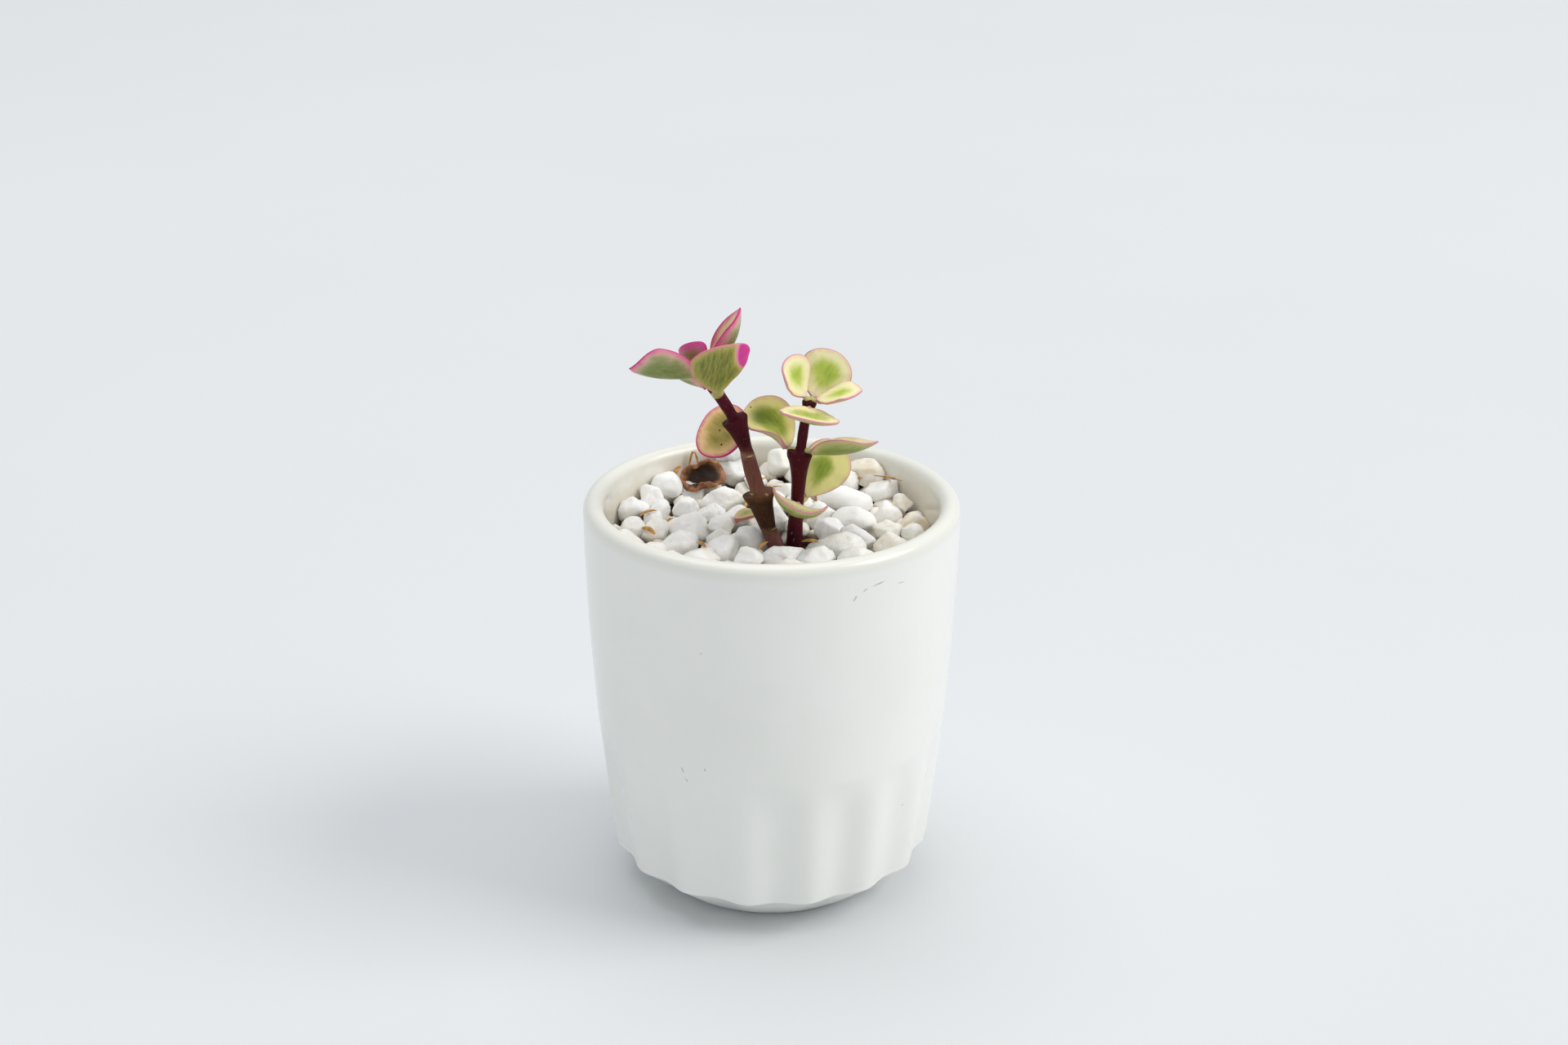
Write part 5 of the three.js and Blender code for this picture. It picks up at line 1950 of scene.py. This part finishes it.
@dataclass
class Litter:
    """The straw and husk on the gravel, swept along their paths."""

    straw_finish: Finish = DryTissue(
        "golden_straw", tone(214, 164, 92), tone(166, 112, 54), tone(92, 56, 26), stretch=(1, 1, 2)
    )
    samples: int = 14
    sides: int = 8
    flatness: float = 0.5
    end_size: float = 0.35
    bulge: float = 2.6
    straws: tuple[Straw, ...] = (
        Straw("straw_loop", (-19.2, 29.2, 81.4), (-16.4, 29.2, 81.4), 6.0, 0.5),
        Straw("straw_back", (-4.8, 20.5, 82.2), (-1.6, 22.5, 83.6), 0.4, 0.55),
        Straw("straw_middle", (-4.2, 13.5, 81.4), (-0.6, 14.5, 81.6), 0.5, 0.5),
        Straw("straw_by_stem", (6.4, -5.2, 79.6), (9.8, -7.6, 80.6), 0.3, 0.65),
        Straw("straw_left", (-28.6, 5.4, 81), (-25, 7.6, 81.4), 0.5, 0.5),
        Straw("straw_right", (16.6, 24.5, 82.4), (20, 24.8, 82.8), 0.3, 0.5),
        Straw("straw_upright", (9.6, 16.4, 80.4), (9.8, 17, 83.6), 0, 0.45),
        Straw("straw_front", (-15.6, -7.6, 80.2), (-13.8, -11.4, 80.8), 0.4, 0.55),
        Straw("bit_by_tall_stem", (-2.8, -11.2, 80.2), (-0.8, -8.8, 81.0), 0.3, 0.5, False),
        Straw("bit_behind_stem", (-6.0, 9.6, 80.8), (-5.2, 15.6, 82.2), 0.4, 0.4, False),
        Straw("bit_pale", (-1.0, 18, 82.6), (2.2, 17.6, 83.4), 0.3, 0.3, False),
        Straw("bit_front_left", (-27.8, 0.4, 80.2), (-24.8, -3.4, 80.4), 0.6, 0.7, False),
        Straw("bit_left", (-22.4, 1.4, 81.4), (-21.2, 2.8, 81.6), 0.2, 0.4, False),
        Straw("bit_wall_left", (-22.6, 25.8, 81.8), (-20.6, 28.2, 84.4), 0.4, 0.6, False),
        Straw("bit_wall_right", (22.5, 22.6, 84.2), (28.5, 18.4, 84.6), 0.3, 0.35, False),
    )

    def tree(self) -> bpy.types.NodeTree:
        """The tree that sweeps a flattened section along a path.

        Returns:
            The Geometry Nodes tree.
        """
        inputs = {
            "Path": ("NodeSocketGeometry", None),
            "Samples": ("NodeSocketInt", 12),
            "Sides": ("NodeSocketInt", 8),
            "Radius": ("NodeSocketFloat", 0.0005),
            "Flatness": ("NodeSocketFloat", 0.5),
            "Finish": ("NodeSocketMaterial", None),
        }
        outputs = {"Geometry": "NodeSocketGeometry"}
        wiring = new_group("swept_straw", "GeometryNodeTree", inputs, outputs)
        given = wiring.add("NodeGroupInput").outputs
        curve = wiring.out("GeometryNodeMeshToCurve", "Curve", {"Mesh": given["Path"]})
        curve = wiring.out(
            "GeometryNodeCurveSplineType", "Curve", {"Curve": curve}, spline_type="CATMULL_ROM"
        )
        samples = {"Curve": curve, "Count": given["Samples"]}
        curve = wiring.out("GeometryNodeResampleCurve", "Curve", samples)
        along = wiring.out("GeometryNodeSplineParameter", "Factor")
        bulge = wiring.times(along, wiring.rest(along))
        share = wiring.plus(wiring.times(bulge, self.bulge), self.end_size)
        curve = wiring.out("GeometryNodeSetCurveRadius", "Curve", {"Curve": curve, "Radius": share})
        round_section = {"Resolution": given["Sides"], "Radius": given["Radius"]}
        circle = wiring.out("GeometryNodeCurvePrimitiveCircle", "Curve", round_section)
        flat = wiring.joined(1.0, given["Flatness"], 1.0)
        section = wiring.out("GeometryNodeTransform", 0, {"Geometry": circle, "Scale": flat})
        scale = wiring.out("GeometryNodeInputRadius", 0)
        along_it = {"Curve": curve, "Profile Curve": section, "Scale": scale, "Fill Caps": True}
        sweep = wiring.out("GeometryNodeCurveToMesh", 0, along_it)
        return wiring.deliver(sweep, given["Finish"])

    def build(self) -> None:
        """Builds every straw."""
        tree = self.tree()
        for straw in self.straws:
            line = []
            for u in (0, 0.25, 0.5, 0.75, 1):
                x, y, z = (mix(a, b, u) for a, b in zip(straw.start, straw.end))
                line.append((x, y, z + straw.arch * 4 * u * (1 - u)))
            mesh = bpy.data.meshes.new(straw.name)
            edges = [(i, i + 1) for i in range(len(line) - 1)]
            mesh.from_pydata((np.array(line) * MM).tolist(), edges, [])
            piece = bpy.data.objects.new(f"{straw.name}_husk", mesh)
            bpy.context.scene.collection.objects.link(piece)
            grown(
                piece,
                tree,
                samples=self.samples,
                sides=self.sides,
                radius=straw.radius * MM,
                flatness=self.flatness,
                finish=self.straw_finish.material(),
            )
            nodes = (straw.name,) if straw.stands_for else ()
            hand_over(piece, "dry_leaf", *nodes)


def fallen_leaves() -> list[Leaf]:
    """The fresh leaf and the dried leaf that lie on the gravel."""
    brown = DryTissue("brown_dried_leaf", tone(178, 126, 84), tone(116, 66, 38), tone(58, 30, 18))
    return [
        Leaf("fallen_leaf", (-8, 3.4, 81), (-3.2, 6.4, 81.5), 5, (2.2, 2.2), (30, 30),
             FALLEN_SKIN, bow=0.3, wave=0.05),
        Leaf("dried_leaf", (-20.5, 22.2, 82.8), (-10.5, 24.8, 83.4), 40, (6, 5.2), (150, 90),
             brown, twist=-30, bow=-0.6, widest=0.45, wave=0.6, rim_thickness=0.55,
             slot="dry_leaf"),
    ]


# ---------------------------------------------------------------------------
# Camera, light and floor
# ---------------------------------------------------------------------------


@dataclass
class Studio:
    """The camera at the photograph's view, soft light from the right and above, a pale floor."""

    camera_place: Point = (2.6, -431.5, 254.0)
    pitch_down: float = 21.75
    roll: float = 0.35
    lens: float = 50.0
    sensor: float = 36.0
    clip: tuple[float, float] = (0.01, 30.0)
    floor_half: float = 6000.0
    surround: Colour = tone(240, 242, 244)
    surround_strength: float = 0.59
    # name, place, what it points at, width, height, watts and colour
    lamps: tuple[tuple, ...] = (
        ("window_right", (5200, -700, 4700), (0, 0, 60), 3900, 3900, 222.0, tone(255, 253, 250)),
        ("soft_top", (-500, 700, 4800), (0, 0, 0), 4400, 4400, 96.0, tone(252, 253, 255)),
    )

    def camera(self) -> None:
        """Places the camera."""
        data = bpy.data.cameras.new("photo_camera")
        data.lens = self.lens
        data.sensor_width = self.sensor
        data.clip_start, data.clip_end = self.clip
        camera = bpy.data.objects.new("photo_camera", data)
        bpy.context.scene.collection.objects.link(camera)
        tilt = Matrix.Rotation(math.radians(90 - self.pitch_down), 4, "X")
        turn = Matrix.Rotation(math.radians(self.roll), 4, "Z")
        camera.matrix_world = Matrix.Translation(Vector(self.camera_place) * MM) @ tilt @ turn
        bpy.context.scene.camera = camera

    def light(self) -> None:
        """Places the lamps and the pale surround."""
        for name, place, aim, width, height, watts, colour in self.lamps:
            data = bpy.data.lights.new(name, "AREA")
            data.shape = "RECTANGLE"
            data.size, data.size_y = width * MM, height * MM
            data.energy = watts
            data.color = colour[:3]
            lamp = bpy.data.objects.new(name, data)
            bpy.context.scene.collection.objects.link(lamp)
            lamp.location = Vector(place) * MM
            lamp.rotation_euler = (Vector(aim) - Vector(place)).to_track_quat("-Z", "Y").to_euler()
        world = bpy.data.worlds.new("pale_surround")
        world.use_nodes = True
        background = world.node_tree.nodes["Background"]
        background.inputs["Color"].default_value = self.surround
        background.inputs["Strength"].default_value = self.surround_strength
        bpy.context.scene.world = world

    def floor(self) -> None:
        """Lays the floor."""
        half = self.floor_half
        shell = Shell()
        shell.scatter([(-half, -half, 0), (half, -half, 0), (half, half, 0), (-half, half, 0)])
        shell.faces.append((0, 1, 2, 3))
        shell.piece("pale_floor", PalePaint("pale_floor_paint"))

    def build(self) -> None:
        """Builds the studio."""
        self.camera()
        self.light()
        self.floor()
        bpy.context.scene.view_settings.view_transform = "Standard"


def main() -> None:
    """Builds the object piece by piece."""
    logging.basicConfig(level=logging.INFO, format="%(name)s: %(message)s")
    Studio().build()
    pot = Pot()
    pot.build()
    bed = Bed(pot)
    bed.build()
    tall, short = both_stems()
    Gravel(bed, [tall.line(), short.line()]).build()
    tall.build()
    short.build()
    for leaf in short_leaves():
        leaf.build(short.line())
    for leaf in tall_leaves():
        leaf.build(tall.line())
    for leaf in fallen_leaves():
        leaf.build()
    Litter().build()


if __name__ == "__main__":
    main()
